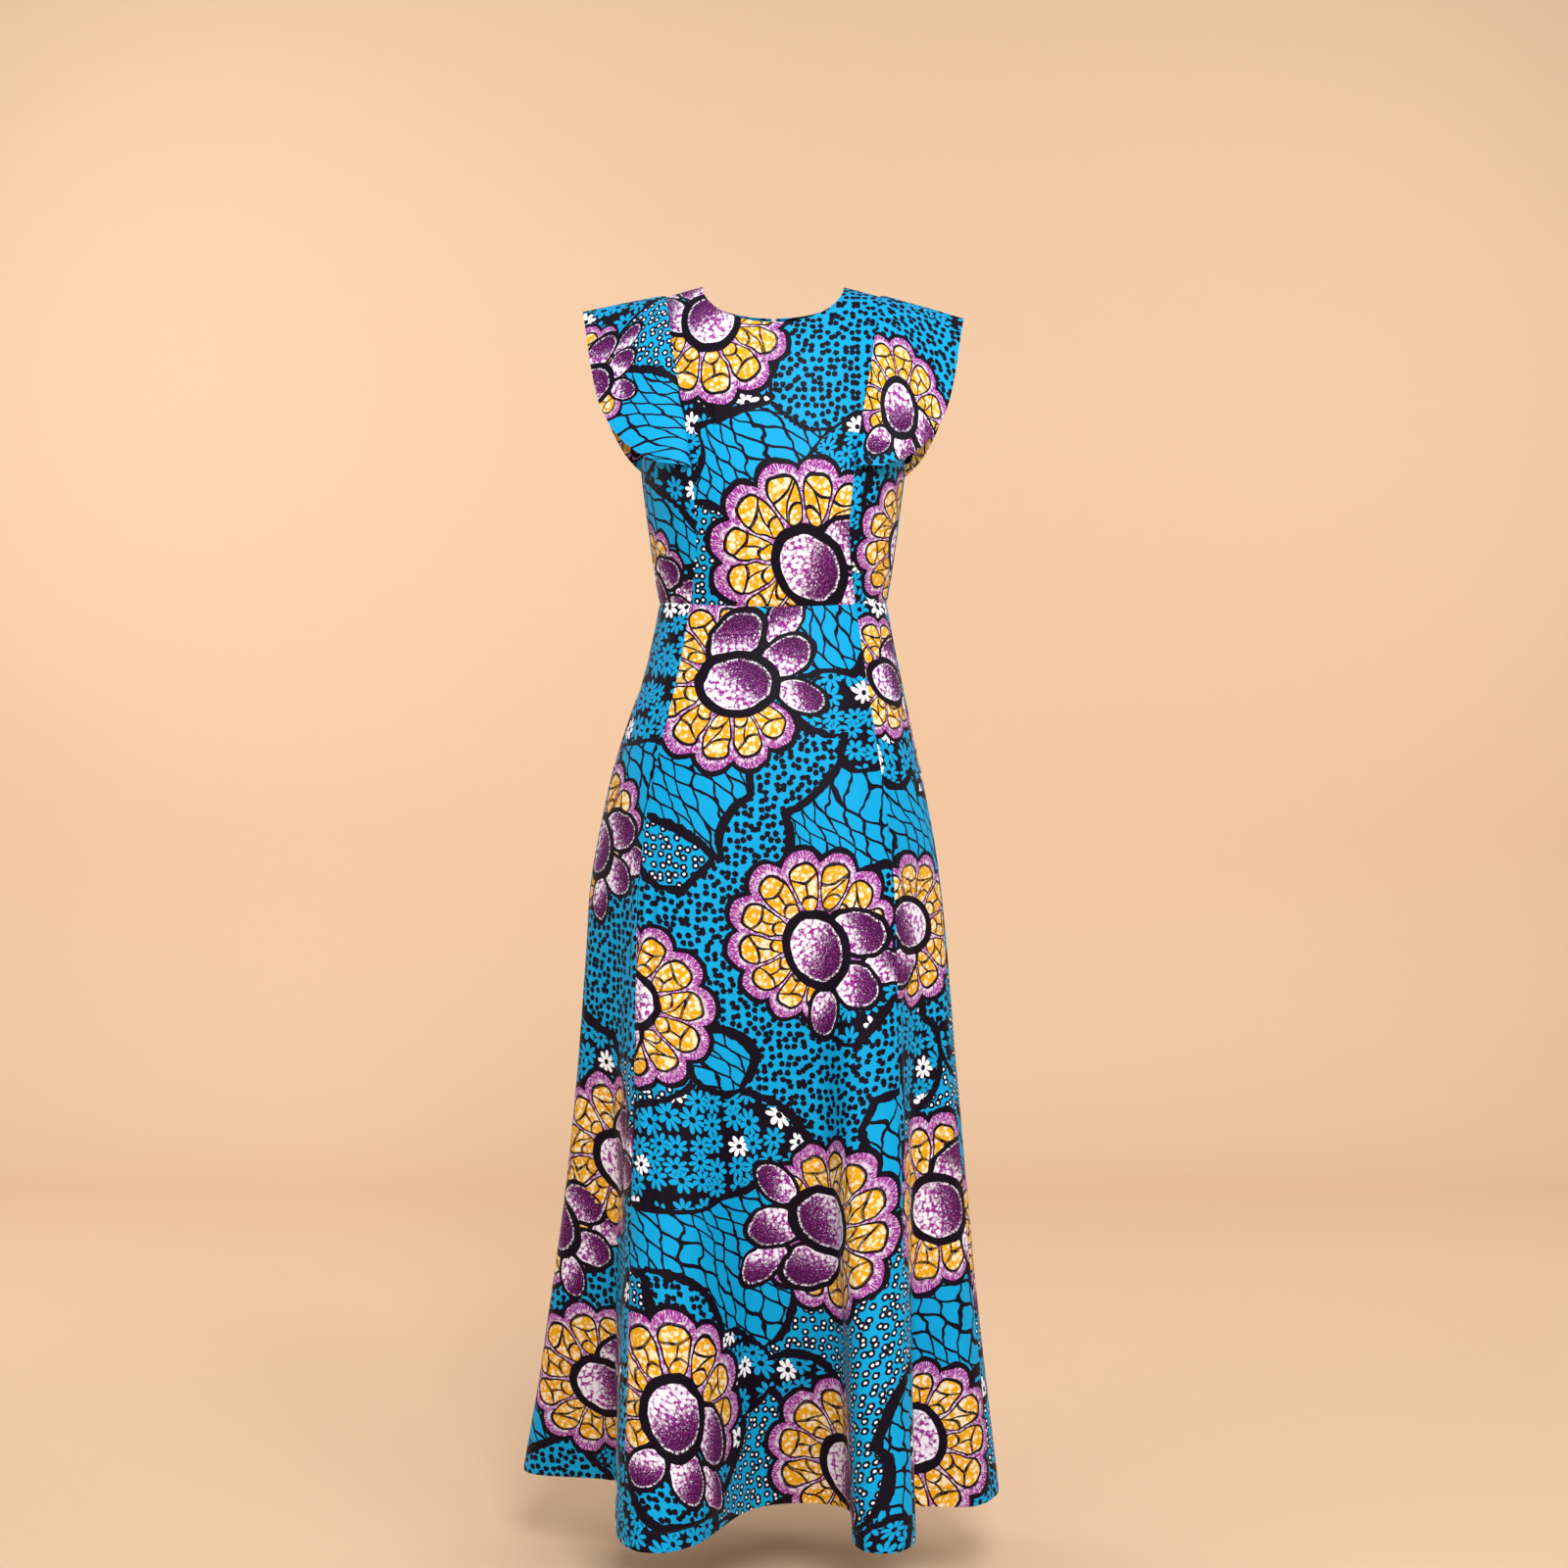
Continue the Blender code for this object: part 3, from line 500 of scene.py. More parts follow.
def centre_columns(side, face):
    """Shares of the princess distance for a half panel, centre first, and their layers."""
    seam = SHOULDER_SEAM[side] if face == "front" else 4 - SHOULDER_SEAM[side]
    point = float(NECK_HALF_WIDTH / princess_x(seam, face))
    neck = point * np.sin(np.linspace(0, math.pi / 2, 19))
    strap = np.linspace(point, 0.982, 7)[1:]
    shares = np.concatenate([neck, strap, (0.993, 1.0, 0.999, 0.985, 0.94, 0.89)])
    layers = np.concatenate([np.zeros(len(neck) + len(strap) + 1), (0.5, 0.85, 1, 1, 1)])
    return shares, layers


def cut_centre(side, face, inset=0.0):
    """Half of a centre panel as turns and levels, from the centre line outwards."""
    shares, layers = centre_columns(side, face)
    count = int(CENTRE_LENGTH / MESH_STEP)
    rows = edge_shares(CENTRE_LENGTH, SEAM_TURN, NECK_TURN, count)
    row_layers = edge_layers(SEAM_TURN, NECK_TURN, count)
    heights = rows[:, None] * top_height(shares, side, face)[None, :]
    x = np.maximum(shares[None, :] * princess_x(heights, face), inset)
    return around(x, heights, side, face), heights, layers, row_layers


def cut_bodice():
    """Centre and side panels of the bodice."""
    halves = {side: cut_centre(side, "front") for side in SIDES}
    turns = np.concatenate([halves["left"][0][:, :0:-1], halves["right"][0]], axis=1)
    levels = np.concatenate([halves["left"][1][:, :0:-1], halves["right"][1]], axis=1)
    layers = np.concatenate([halves["left"][2][:0:-1], halves["right"][2]])
    yield Cut("bodice_front_centre", torso, torso_normal, turns, levels, layers,
              halves["left"][3], ("sewn", "sewn", "sewn", "neck"))
    for side in SIDES:
        turns, levels, layers, row_layers = cut_centre(side, "back", inset=ZIP_OPENING / 2)
        if side == "right":
            turns, levels, layers = turns[:, ::-1], levels[:, ::-1], layers[::-1]
        yield Cut("bodice_back_centre_" + side, torso, torso_normal, turns, levels, layers,
                  row_layers, ("fold", "sewn", "sewn", "neck"))
        for face in FACES:
            yield cut_side(side, face)


def cut_side(side, face):
    """Side panel, from the princess seam to the side seam and the armhole."""
    sign = 1 if side == "right" else -1
    top = SHOULDER_SEAM[side] if face == "front" else 4 - SHOULDER_SEAM[side]
    count = int(SIDE_LENGTH / MESH_STEP)
    rows = edge_shares(SIDE_LENGTH, SEAM_TURN, SEAM_TURN, count)
    row_layers = edge_layers(SEAM_TURN, SEAM_TURN, count)
    columns = edge_shares(SIDE_WIDTH, SEAM_TURN * 0.8, SEAM_TURN * 0.6, SIDE_COLUMNS)
    layers = edge_layers(SEAM_TURN, SEAM_TURN, SIDE_COLUMNS)
    heights = rows[:, None] * top + 0 * columns[None, :]
    near = around(princess_x(heights, face), heights, side, face)
    edge = armhole_degrees(heights)
    if face == "back":
        edge = np.where(heights > UNDERARM, 180 - edge, edge)
    turns = blend(near, sign * edge, columns[None, :])
    if (side == "right") != (face == "front"):
        turns, heights, layers = turns[:, ::-1], heights[:, ::-1], layers[::-1]
    return Cut("bodice_" + face + "_side_" + side, torso, torso_normal, turns, heights, layers,
               row_layers, ("sewn", "sewn", "sewn", "sewn"))


def wing_shares(side, face):
    """Rows of a wing from its foot to the shoulder seam, as shares over the shoulder."""
    top = (SHOULDER_SEAM[side] - WING_FOOT) / (2 - WING_FOOT)
    return np.linspace(0 if face == "front" else 2, top, WING_ROWS[face])


def cut_wing(side, face):
    """Wing, rooted in the princess seam. Its root goes down between the two bodice panels."""
    reaches = np.concatenate([(-0.012, 0.0, 0.015), np.linspace(0.04, 0.985, 22), (1.0,)])
    edges = ("root", "free", "free", "sewn")
    if (side == "right") != (face == "front"):
        reaches = reaches[::-1]
        edges = ("free", "root", "free", "sewn")
    turns, levels = np.meshgrid(reaches, wing_shares(side, face))

    def surface(reach, share):
        points = wing_point(np.maximum(reach, 0), share, side)
        sink = np.minimum(reach, 0)[..., None] * ROOT_DEPTH
        return points + away_from_body(points) * sink

    def normal(reach, share):
        return wing_normal(np.maximum(reach, 0), share, side)

    flat = np.zeros(len(reaches))
    return Cut("wing_" + face + "_" + side, surface, normal, turns, levels, flat,
               np.zeros(len(levels)), edges)


def away_from_body(points):
    """Direction away from the body's middle line, for sinking a wing's root into its seam."""
    away = points * (1.0, 1.0, 0.0)
    away[..., 2] = ROOT_RISE
    return unit(away)


# ---- Creases -----------------------------------------------------------------------------------
# Each runs over its surface from one place to another, bowed sideways by `bow`. Depth is negative
# for a ridge. On the wings turn is the reach and level is the share over the shoulder.
Crease = namedtuple("Crease", "piece turn level end_turn end_level bow depth width")
CREASES = [Crease(piece, *row) for piece, rows in {
    "bodice": [
        (-28, 0.03, -62, 0.10, 3, 1.3, 7), (34, 0.05, 66, 0.09, -3, 1.1, 6),
        (-70, 0.16, -34, 0.22, 4, 0.9, 8), (70, 0.20, 40, 0.15, 4, 1.0, 7),
        (-66, 0.68, -36, 0.52, 3, 1.6, 10), (66, 0.70, 38, 0.55, -3, 1.4, 9),
        (-20, 0.30, -34, 0.08, 2, 0.9, 9), (12, 0.26, 24, 0.05, -2, 0.8, 10),
        (150, 0.06, 112, 0.12, -3, 1.4, 8), (-148, 0.10, -110, 0.05, 3, 1.3, 8),
        (160, 0.24, 118, 0.20, 4, 1.1, 9), (-158, 0.20, -120, 0.27, -4, 1.2, 9),
        (108, 0.70, 146, 0.56, 4, 1.2, 11), (-108, 0.68, -148, 0.54, 4, 1.3, 11)],
    "skirt": [
        (-47.0, -600, -50.0, -1210, 1.2, 3.6, 9), (-39.4, -640, -39.0, -1080, -0.5, -3.0, 6),
        (-37.0, -600, -36.4, -1060, 0.6, 4.0, 6), (-34.4, -650, -33.8, -960, -0.5, -2.0, 6),
        (-30.0, -720, -27.0, -1330, -1.5, 1.5, 13), (47.0, -640, 49.0, -1270, -1.0, 2.8, 10),
        (40.0, -820, 41.0, -1300, 0.8, -1.3, 8), (9.0, -860, 13.0, -1391, 1.6, 3.0, 17),
        (-8.0, -980, -4.0, -1391, -1.2, 1.9, 15), (24.0, -1010, 27.0, -1391, 1.0, -1.6, 14),
        (-26.0, -377, -15.0, -455, 2.0, 1.0, 8), (27.0, -379, 15.0, -470, -2.0, 0.9, 9),
        (-60.0, -384, -48.0, -520, -2.0, 1.2, 9), (62.0, -386, 50.0, -505, 2.0, 1.1, 10),
        (-68.0, -610, -70.0, -1240, 1.5, 2.6, 12), (70.0, -700, 73.0, -1290, -1.3, 2.2, 12),
        (98.0, -520, 101.0, -1140, 1.5, 2.4, 13), (119.0, -640, 121.0, -1330, -1.0, 2.0, 14),
        (139.0, -500, 143.0, -1020, 1.4, 2.3, 11), (160.0, -620, 163.0, -1391, -1.0, 2.8, 14),
        (172.0, -700, 171.0, -1210, 0.8, -1.5, 10), (-167.0, -610, -164.0, -1290, 1.1, 2.2, 12),
        (-150.0, -540, -147.0, -1110, -1.2, 2.5, 12), (-128.0, -700, -126.0, -1391, 1.0, 2.1, 15),
        (-108.0, -560, -105.0, -1190, 1.2, 2.7, 12), (-92.0, -800, -91.0, -1340, -1.0, -1.5, 12),
        (150.0, -379, 138.0, -470, 2.0, 1.1, 9), (-152.0, -377, -140.0, -490, -2.0, 1.2, 9)],
    "wing": [
        (0.10, 0.42, 0.86, 0.22, 0.04, 0.9, 8), (0.16, 0.74, 0.80, 0.60, -0.03, 0.7, 9),
        (0.10, 1.52, 0.84, 1.72, 0.04, 0.9, 9), (0.20, 1.20, 0.78, 1.34, 0.03, 0.7, 8)],
}.items() for row in rows]
CREASE_STEPS = 15
CREASE_REACH = 3.0            # widths to each side within which a crease is felt
CALM_EDGE = 12.0              # how far from a seam the cloth is held smooth
WING_WAVES = 0.5
ZIP_PARTS = 14.0              # height over which the folded edges part above the zip's end


def piece_surface(piece):
    return skirt if piece.startswith("skirt") else torso


def crease_depth(points, piece, side="right"):
    """How far the cloth lies under its smooth form at each point."""
    depth = np.zeros(points.shape[:-1])
    for number, crease in enumerate(CREASES):
        if not piece.startswith(crease.piece):
            continue
        share = np.linspace(0, 1, CREASE_STEPS)
        turn = blend(crease.turn, crease.end_turn, share)
        level = blend(crease.level, crease.end_level, share)
        turn = turn + crease.bow * np.sin(math.pi * share)
        if crease.piece == "wing":
            path = wing_point(turn, level, side)
        else:
            path = piece_surface(piece)(turn, level)
        reach = crease.width * CREASE_REACH
        box = ((points > path.min(axis=0) - reach) & (points < path.max(axis=0) + reach)).all(-1)
        if not box.any():
            continue
        near = points[box]
        best = np.full(len(near), 1e9)
        along = np.zeros(len(near))
        for k, (start, end) in enumerate(zip(path, path[1:])):
            step = end - start
            t = np.clip((near - start) @ step / max(step @ step, 1e-9), 0, 1)
            away = np.linalg.norm(near - start - t[:, None] * step, axis=1)
            closer = away < best
            best = np.where(closer, away, best)
            along = np.where(closer, (k + t) / (len(path) - 1), along)
        q = best / crease.width
        fade = np.sin(math.pi * np.clip(along, 0.02, 0.98)) ** 0.8
        uneven = 0.78 + 0.22 * np.sin(9 * along + number * 1.7)
        depth[box] += crease.depth * fade * uneven * np.exp(-q * q) * (1 - 0.45 * q * q)
    return depth


WAVES = (
    ((0.031, 0.012, 0.017), 0.9, 0.34),
    ((-0.022, 0.036, 0.011), 2.1, 0.30),
    ((0.055, -0.021, 0.029), 4.0, 0.16),
    ((0.018, 0.047, -0.043), 5.2, 0.15),
    ((-0.071, 0.025, 0.052), 1.3, 0.09),
)


def cloth_waves(points):
    """Slight unevenness that worn cloth has everywhere."""
    return sum(size * np.sin(points @ np.array(wave) + phase) for wave, phase, size in WAVES)


# ---- Laying a panel out ------------------------------------------------------------------------
def outer_edges(layers):
    """First and last index of a strip that aren't turned in under it."""
    folds = np.flatnonzero(layers == 0.5)
    first = [k for k in folds if k < len(layers) // 2]
    last = [k for k in folds if k >= len(layers) // 2]
    return (first[0] if first else 0), (last[0] if last else len(layers) - 1)


def edge_distance(points, cut):
    """Distance of each point from the panel's nearest sewn edge, in millimetres."""
    start, end = outer_edges(cut.across)
    bottom, top = outer_edges(cut.up)
    lines = (points[:, start][:, None], points[:, end][:, None],
             points[bottom][None], points[top][None])
    far = np.full(points.shape[:-1], 1e3)
    for line, edge in zip(lines, cut.edges):
        if edge == "sewn":
            far = np.minimum(far, np.linalg.norm(points - line, axis=-1))
    return far


def lay_out(cut, side="right"):
    """Points, normals and flat cloth coordinates of a cut panel, all in millimetres."""
    surface, turns, levels = cut.surface, cut.turns, cut.levels
    points, normals = surface(turns, levels), cut.normal(turns, levels)
    wing = cut.name.startswith("wing")
    depth = crease_depth(points, cut.name, side) + cloth_waves(points) * (WING_WAVES if wing else 1)
    seam = edge_distance(points, cut)
    depth = depth * smooth(0, CALM_EDGE, seam)
    if not wing:
        depth = depth + GROOVE * np.exp(-(seam / GROOVE_WIDTH) ** 2)
        lift = CLOTH_LIFT - LAYER * (cut.across[None, :] + cut.up[:, None])
    else:
        lift = 0.0
    flat = flat_places(cut, points)
    points = points + normals * (lift - depth)[..., None]
    if cut.name.startswith(("bodice_back_centre", "skirt_back_centre")):
        clear = ZIP_OPENING / 2 * smooth(ZIP_END_Z - ZIP_PARTS, ZIP_END_Z,
                                         points[..., 2])
        sign = 1 if cut.name.endswith("right") else -1
        points[..., 0] = sign * np.maximum(sign * points[..., 0], clear)
    return points, normals, flat, seam


def flat_places(cut, points):
    """Where each point lies on the flat cloth, measured over the surface from mid panel."""
    turns, levels = cut.turns, cut.levels
    if cut.name.startswith("wing"):
        across = run_along(points, axis=1)
        up = run_along(points[:, points.shape[1] // 2])
        return np.stack((across, np.repeat(up[:, None], across.shape[1], axis=1)), axis=-1)
    middle = np.full_like(turns, (turns.min() + turns.max()) / 2)
    across = path_length(cut.surface, (middle, levels), (turns, levels)) * np.sign(turns - middle)
    base = WAIST_Z if cut.surface is skirt else 0.0
    up = path_length(cut.surface, (turns, np.full_like(levels, base)), (turns, levels))
    return np.stack((across, -up if cut.surface is skirt else up), axis=-1)


# ---- Print layout ------------------------------------------------------------------------------
# Kinds of ground between the flowers: dark blobs, ringed white dots, daisies, leaf net.
BLOBS, RINGS, DAISIES, LEAVES = range(4)
PATCH_STEP = 100.0            # spacing of the ground's patches
PATCH_JITTER = 0.30
PATCH_WEIGHTS = (0.66, 0.95, 1.35)
PATCH_BEND = 4.0              # the borders between patches sway by about this much
PATCH_PULL = 70.0             # a settled place rules what lies this near to it
PATCH_ROW = 0.87              # spacing of their rows, as a share of a step
KIND_CHANCES = (0.28, 0.14, 0.30, 0.28)
NO_KIND = 9.0                 # distance to a kind that a panel has none of
PRINT_SEED = 11

# Places (x, z) on the front where the ground's kind is settled.
PATCHES = {
    BLOBS: ((60, -60), (100, -50), (75, -120), (20, -165), (-20, -590), (60, -590), (-90, -770),
            (80, -900), (-190, -760), (190, -60), (130, -215)),
    RINGS: ((-60, -330), (-110, -930), (100, -1180), (-160, -610), (-165, -90)),
    DAISIES: ((-95, -170), (110, -240), (115, -320), (100, -430), (110, -500), (-120, -420),
              (-60, -660), (40, -870), (-40, -1040), (0, -1260), (190, -860), (-160, -1370),
              (-205, -55)),
    LEAVES: ((-60, -190), (-90, -260), (45, -400), (-110, -560), (110, -640), (-40, -860),
             (-20, -1140), (190, -1230), (-190, -160), (-135, -205)),
}

# Place is the share across the panel and the height. Turn is where the fan opens to, in degrees
# from straight up. Petals and variety change the flower's drawing.
Flower = namedtuple("Flower", "share z radius turn petals variety")
FLOWERS = {
    "bodice_front_centre": [
        (0.22, -54, 108, 170, 12, 0.1), (0.66, -326, 124, -50, 13, 0.5)],
    "bodice_front_side_left": [(-0.10, -352, 84, -60, 12, 0.2)],
    "bodice_front_side_right": [(1.25, -300, 92, -70, 12, 0.7)],
    "wing_front_right": [(0.52, -152, 80, -10, 11, 0.3)],
    "wing_front_left": [(-0.05, -118, 78, -80, 12, 0.9)],
    "bodice_back_centre_right": [(0.40, -150, 110, 20, 12, 0.4)],
    "bodice_back_centre_left": [(0.24, -330, 112, 100, 12, 0.8)],
    "bodice_back_side_left": [(0.50, -210, 96, -30, 12, 0.6)],
    "wing_back_left": [(0.50, -110, 76, 30, 11, 0.2)],
    "wing_back_right": [(0.45, -170, 78, -40, 11, 0.5)],
    "skirt_front_centre": [
        (0.34, -460, 118, -112, 13, 0.3), (0.62, -752, 112, -40, 13, 0.6),
        (-0.06, -820, 104, 86, 12, 0.2), (0.62, -1070, 118, 92, 13, 0.9),
        (0.22, -1254, 116, 6, 12, 0.4), (0.62, -1340, 108, -45, 12, 0.7)],
    "skirt_front_side_right": [
        (0.45, -455, 84, -80, 11, 0.5), (0.30, -740, 100, 90, 12, 0.1),
        (0.62, -1050, 118, -80, 12, 0.8), (0.40, -1320, 112, 120, 13, 0.3)],
    "skirt_front_side_left": [
        (0.20, -640, 100, -50, 12, 0.6), (0.70, -1000, 110, -84, 12, 0.2),
        (0.16, -1080, 104, -60, 12, 0.7), (0.50, -1270, 106, -80, 12, 0.4)],
    "skirt_back_side_right": [
        (0.45, -560, 106, 40, 12, 0.2), (0.60, -850, 112, -100, 12, 0.9),
        (0.28, -1110, 114, 10, 13, 0.5), (0.70, -1320, 110, 120, 12, 0.3)],
    "skirt_back_side_left": [
        (0.55, -500, 104, -30, 12, 0.8), (0.35, -790, 112, 60, 12, 0.4),
        (0.70, -1020, 110, 180, 12, 0.1), (0.35, -1270, 114, 20, 13, 0.6)],
    "skirt_back_centre_right": [
        (0.50, -700, 108, -20, 12, 0.6), (0.55, -1010, 112, 90, 12, 0.2),
        (0.45, -1280, 112, -60, 13, 0.9)],
    "skirt_back_centre_left": [
        (0.45, -560, 106, 70, 12, 0.3), (0.55, -880, 112, -50, 12, 0.7),
        (0.45, -1170, 110, 140, 12, 0.5)],
}


def place_on(flat, points, shares, flower):
    """Flat cloth coordinates of a flower's centre, also where it lies past the panel's edge."""
    column = int(np.argmin(np.abs(shares - flower.share)))
    heights = points[:, column, 2]
    row = int(np.argmin(np.abs(heights - flower.z)))
    wide = abs(flat[row, -1, 0] - flat[row, 0, 0])
    return flat[row, column] + ((flower.share - shares[column]) * wide, flower.z - heights[row])


def panel_flowers(name, flat, points):
    """Centres, radii, turns and drawings of a panel's flowers."""
    own = [Flower(*row) for row in FLOWERS.get(name, ())]
    shares = np.linspace(0, 1, flat.shape[1])
    centres = [place_on(flat, points, shares, flower) for flower in own]
    return own, np.array(centres).reshape(-1, 2)


def ground_seeds(name, flat, points, face):
    """Middles and kinds of the ground's patches on a panel."""
    draw = np.random.default_rng(PRINT_SEED + sum(map(ord, name)))
    low, high = flat.reshape(-1, 2).min(axis=0), flat.reshape(-1, 2).max(axis=0)
    seeds, kinds, weights = [], [], []
    places = flat[::3, ::3].reshape(-1, 2)
    solid = points[::3, ::3].reshape(-1, 3)
    settled = PATCHES if face == "front" else {}
    row = 0
    for v in np.arange(low[1] - PATCH_STEP, high[1] + PATCH_STEP, PATCH_STEP * PATCH_ROW):
        row += 1
        for column, u in enumerate(np.arange(low[0] - PATCH_STEP, high[0] + PATCH_STEP,
                                             PATCH_STEP)):
            shift = draw.uniform(-PATCH_JITTER, PATCH_JITTER, 2) * PATCH_STEP
            seed = np.array((u + (row % 2) * PATCH_STEP / 2, v)) + shift
            kind = int(draw.choice(4, p=KIND_CHANCES))
            spot = solid[np.argmin(((places - seed) ** 2).sum(axis=1))]
            near = [(math.hypot(spot[0] - x, spot[2] - z), ruler)
                    for ruler, middles in settled.items() for x, z in middles]
            if near and min(near)[0] < PATCH_PULL:
                kind = min(near)[1]
            seeds.append(seed)
            kinds.append(kind)
            weights.append(PATCH_WEIGHTS[(column + row) % 3] * draw.uniform(0.93, 1.07))
    return np.array(seeds), np.array(kinds), np.array(weights)


def ground_fields(flat, seeds, kinds, weights):
    """Distance of each point to the nearest patch of each kind, in metres.

    A seed's weight stretches its distances, which bends the borders between patches. The
    slope evens out the width of the bands along them."""
    bend = PATCH_BEND * np.stack((np.sin(flat[..., 1] / 61 + 0.9) + np.sin(flat[..., 1] / 43),
                                  np.sin(flat[..., 0] / 53 + 2.1) + np.sin(flat[..., 0] / 33)),
                                 axis=-1)
    warped = flat + bend
    fields = []
    for kind in range(4):
        own, own_weights = seeds[kinds == kind], weights[kinds == kind]
        if len(own) == 0:
            fields.append(np.full(flat.shape[:-1], NO_KIND))
            continue
        gaps = np.full(flat.shape[:-1], 1e9)
        for seed, weight in zip(own, own_weights):
            gaps = np.minimum(gaps, ((warped - seed) ** 2).sum(axis=-1) * weight ** 2)
        fields.append(np.sqrt(gaps) * MM)
    ordered = np.sort(fields, axis=0)
    lead = ordered[1] - ordered[0]
    steps = [np.linalg.norm(np.gradient(flat, axis=axis), axis=-1) * MM for axis in (0, 1)]
    slopes = [np.gradient(lead, axis=axis) / np.maximum(step, 1e-6)
              for axis, step in enumerate(steps)]
    slope = np.clip(np.hypot(*slopes), 0.45, 3.0)
    return [field / slope for field in fields]


# ---- Meshes ------------------------------------------------------------------------------------
NO_FLOWER = 7.0               # where a panel has no flower, its drawing is this far away
CLOTH_SHARP = 50.0            # edges that turn by more degrees than this stay sharp


def sheet_normals(points):
    return unit(np.cross(np.gradient(points, axis=1), np.gradient(points, axis=0)))


def sheet_faces(rows, columns):
    """Faces of a thin closed sheet: its two sides and the rim between them."""
    near = np.arange(rows * columns).reshape(rows, columns)
    far = near + rows * columns

    def quads(a, b, c, d):
        return np.stack((a, b, c, d), axis=-1).reshape(-1, 4)

    return np.concatenate([
        quads(near[:-1, :-1], near[:-1, 1:], near[1:, 1:], near[1:, :-1]),
        quads(far[:-1, :-1], far[1:, :-1], far[1:, 1:], far[:-1, 1:]),
        quads(near[:-1, 0], near[1:, 0], far[1:, 0], far[:-1, 0]),
        quads(near[1:, -1], near[:-1, -1], far[:-1, -1], far[1:, -1]),
        quads(near[0, 1:], near[0, :-1], far[0, :-1], far[0, 1:]),
        quads(near[-1, :-1], near[-1, 1:], far[-1, 1:], far[-1, :-1]),
    ])


def sheet_sides(points, normals, thick):
    """Outer side of a thin sheet, and the vertices of both its sides in metres."""
    sides = points + normals * thick / 2, points - normals * thick / 2
    return sides[0], np.concatenate([side.reshape(-1, 3) for side in sides]) * MM


def new_piece(name, vertices, faces):
    """Object with smooth faces and sharp corners, at the origin, with its place in its mesh."""
    mesh = bpy.data.meshes.new(name)
    mesh.from_pydata(np.asarray(vertices).tolist(), [], [list(face) for face in faces])
    mesh.validate()
    mesh.shade_smooth()
    made = bpy.data.objects.new(name, mesh)
    bpy.context.scene.collection.objects.link(made)
    return made


def write_map(mesh, name, corners):
    layer = mesh.uv_layers.new(name=name)
    layer.data.foreach_set("uv", np.asarray(corners, float).ravel())


def write_values(mesh, name, kind, values):
    store = mesh.attributes.new(name, kind, "POINT")
    field = "vector" if kind == "FLOAT_VECTOR" else "value"
    store.data.foreach_set(field, np.asarray(values, float).ravel())


def read_numbers(items, field):
    """One whole number from each of a mesh's faces or corners."""
    numbers = np.empty(len(items), dtype=np.int64)
    items.foreach_get(field, numbers)
    return numbers


def print_on(mesh, name, flat, points, face, seam):
    """Writes the cloth map, the flower map and the ground's fields on a panel's mesh."""
    places = np.concatenate([flat.reshape(-1, 2)] * 2)
    at_corner = places[read_numbers(mesh.loops, "vertex_index")]
    count = len(at_corner)
    write_map(mesh, "Cloth", at_corner * MM)
    own, centres = panel_flowers(name, flat, points)
    drawn = np.full((count, 2), NO_FLOWER)
    look = np.full((count, 2), 0.5)
    if own:
        starts = read_numbers(mesh.polygons, "loop_start")
        totals = read_numbers(mesh.polygons, "loop_total")
        middles = np.add.reduceat(at_corner, starts) / totals[:, None]
        radii = np.array([flower.radius for flower in own], float)
        gaps = np.linalg.norm(middles[:, None] - centres[None], axis=-1) / radii
        chosen = np.repeat(np.argmin(gaps, axis=1), totals)
        turns = np.radians([flower.turn for flower in own])[chosen]
        away = (at_corner - centres[chosen]) / radii[chosen][:, None]
        drawn = np.stack((away[:, 0] * np.cos(turns) - away[:, 1] * np.sin(turns),
                          away[:, 0] * np.sin(turns) + away[:, 1] * np.cos(turns)), axis=-1)
        look = np.array([(flower.petals, flower.variety) for flower in own])[chosen]
    write_map(mesh, "Flower", drawn)
    write_map(mesh, "Look", look)
    seeds = ground_seeds(name, flat, points, face)
    fields = [np.concatenate([field.ravel()] * 2) for field in ground_fields(flat, *seeds)]
    write_values(mesh, "near_kinds", "FLOAT_VECTOR", np.stack(fields[:3], axis=-1))
    write_values(mesh, "leaf_kind", "FLOAT", fields[3])
    write_values(mesh, "seam", "FLOAT", np.concatenate([seam.ravel()] * 2) * MM)


SheetSize = namedtuple("SheetSize", "width length area")
CLOTH_SIZES = {}


def make_panel(cut, thick, finish):
    """Sews one cut panel: its mesh, its print and its flat size."""
    side = "left" if cut.name.endswith("left") else "right"
    points, _, flat, seam = lay_out(cut, side)
    normals = sheet_normals(points)
    outer, vertices = sheet_sides(points, normals, thick)
    made = new_piece("cloth_" + cut.name, vertices, sheet_faces(*points.shape[:2]))
    face = "back" if "back" in cut.name else "front"
    print_on(made.data, cut.name, flat, points, face, seam)
    made.data.set_sharp_from_angle(angle=math.radians(CLOTH_SHARP))
    made.data.materials.append(finish)
    up, along = np.diff(points, axis=0), np.diff(points, axis=1)
    area = float(np.linalg.norm(np.cross(up[:, :-1], along[:-1]), axis=-1).sum()) * MM * MM
    width = float(strip_length(points, axis=1).max()) * MM
    length = float(strip_length(points).max()) * MM
    CLOTH_SIZES[made.name] = SheetSize(round(width, 3), round(length, 3), round(area, 4))
    return made, outer


def dress_panel(made, cut, stitches):
    """Puts a panel on the dress: attaches it to its body and hides the solid node that it replaces.
    """
    size = CLOTH_SIZES[made.name]
    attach(made, "dress")
    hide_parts(cut.name)
    area = min(size.area, size.width * size.length)


# ---- Shader wiring -----------------------------------------------------------------------------
MIX_UNDER, MIX_OVER, MIX_RESULT = 6, 7, 2     # colour sockets of a mix node


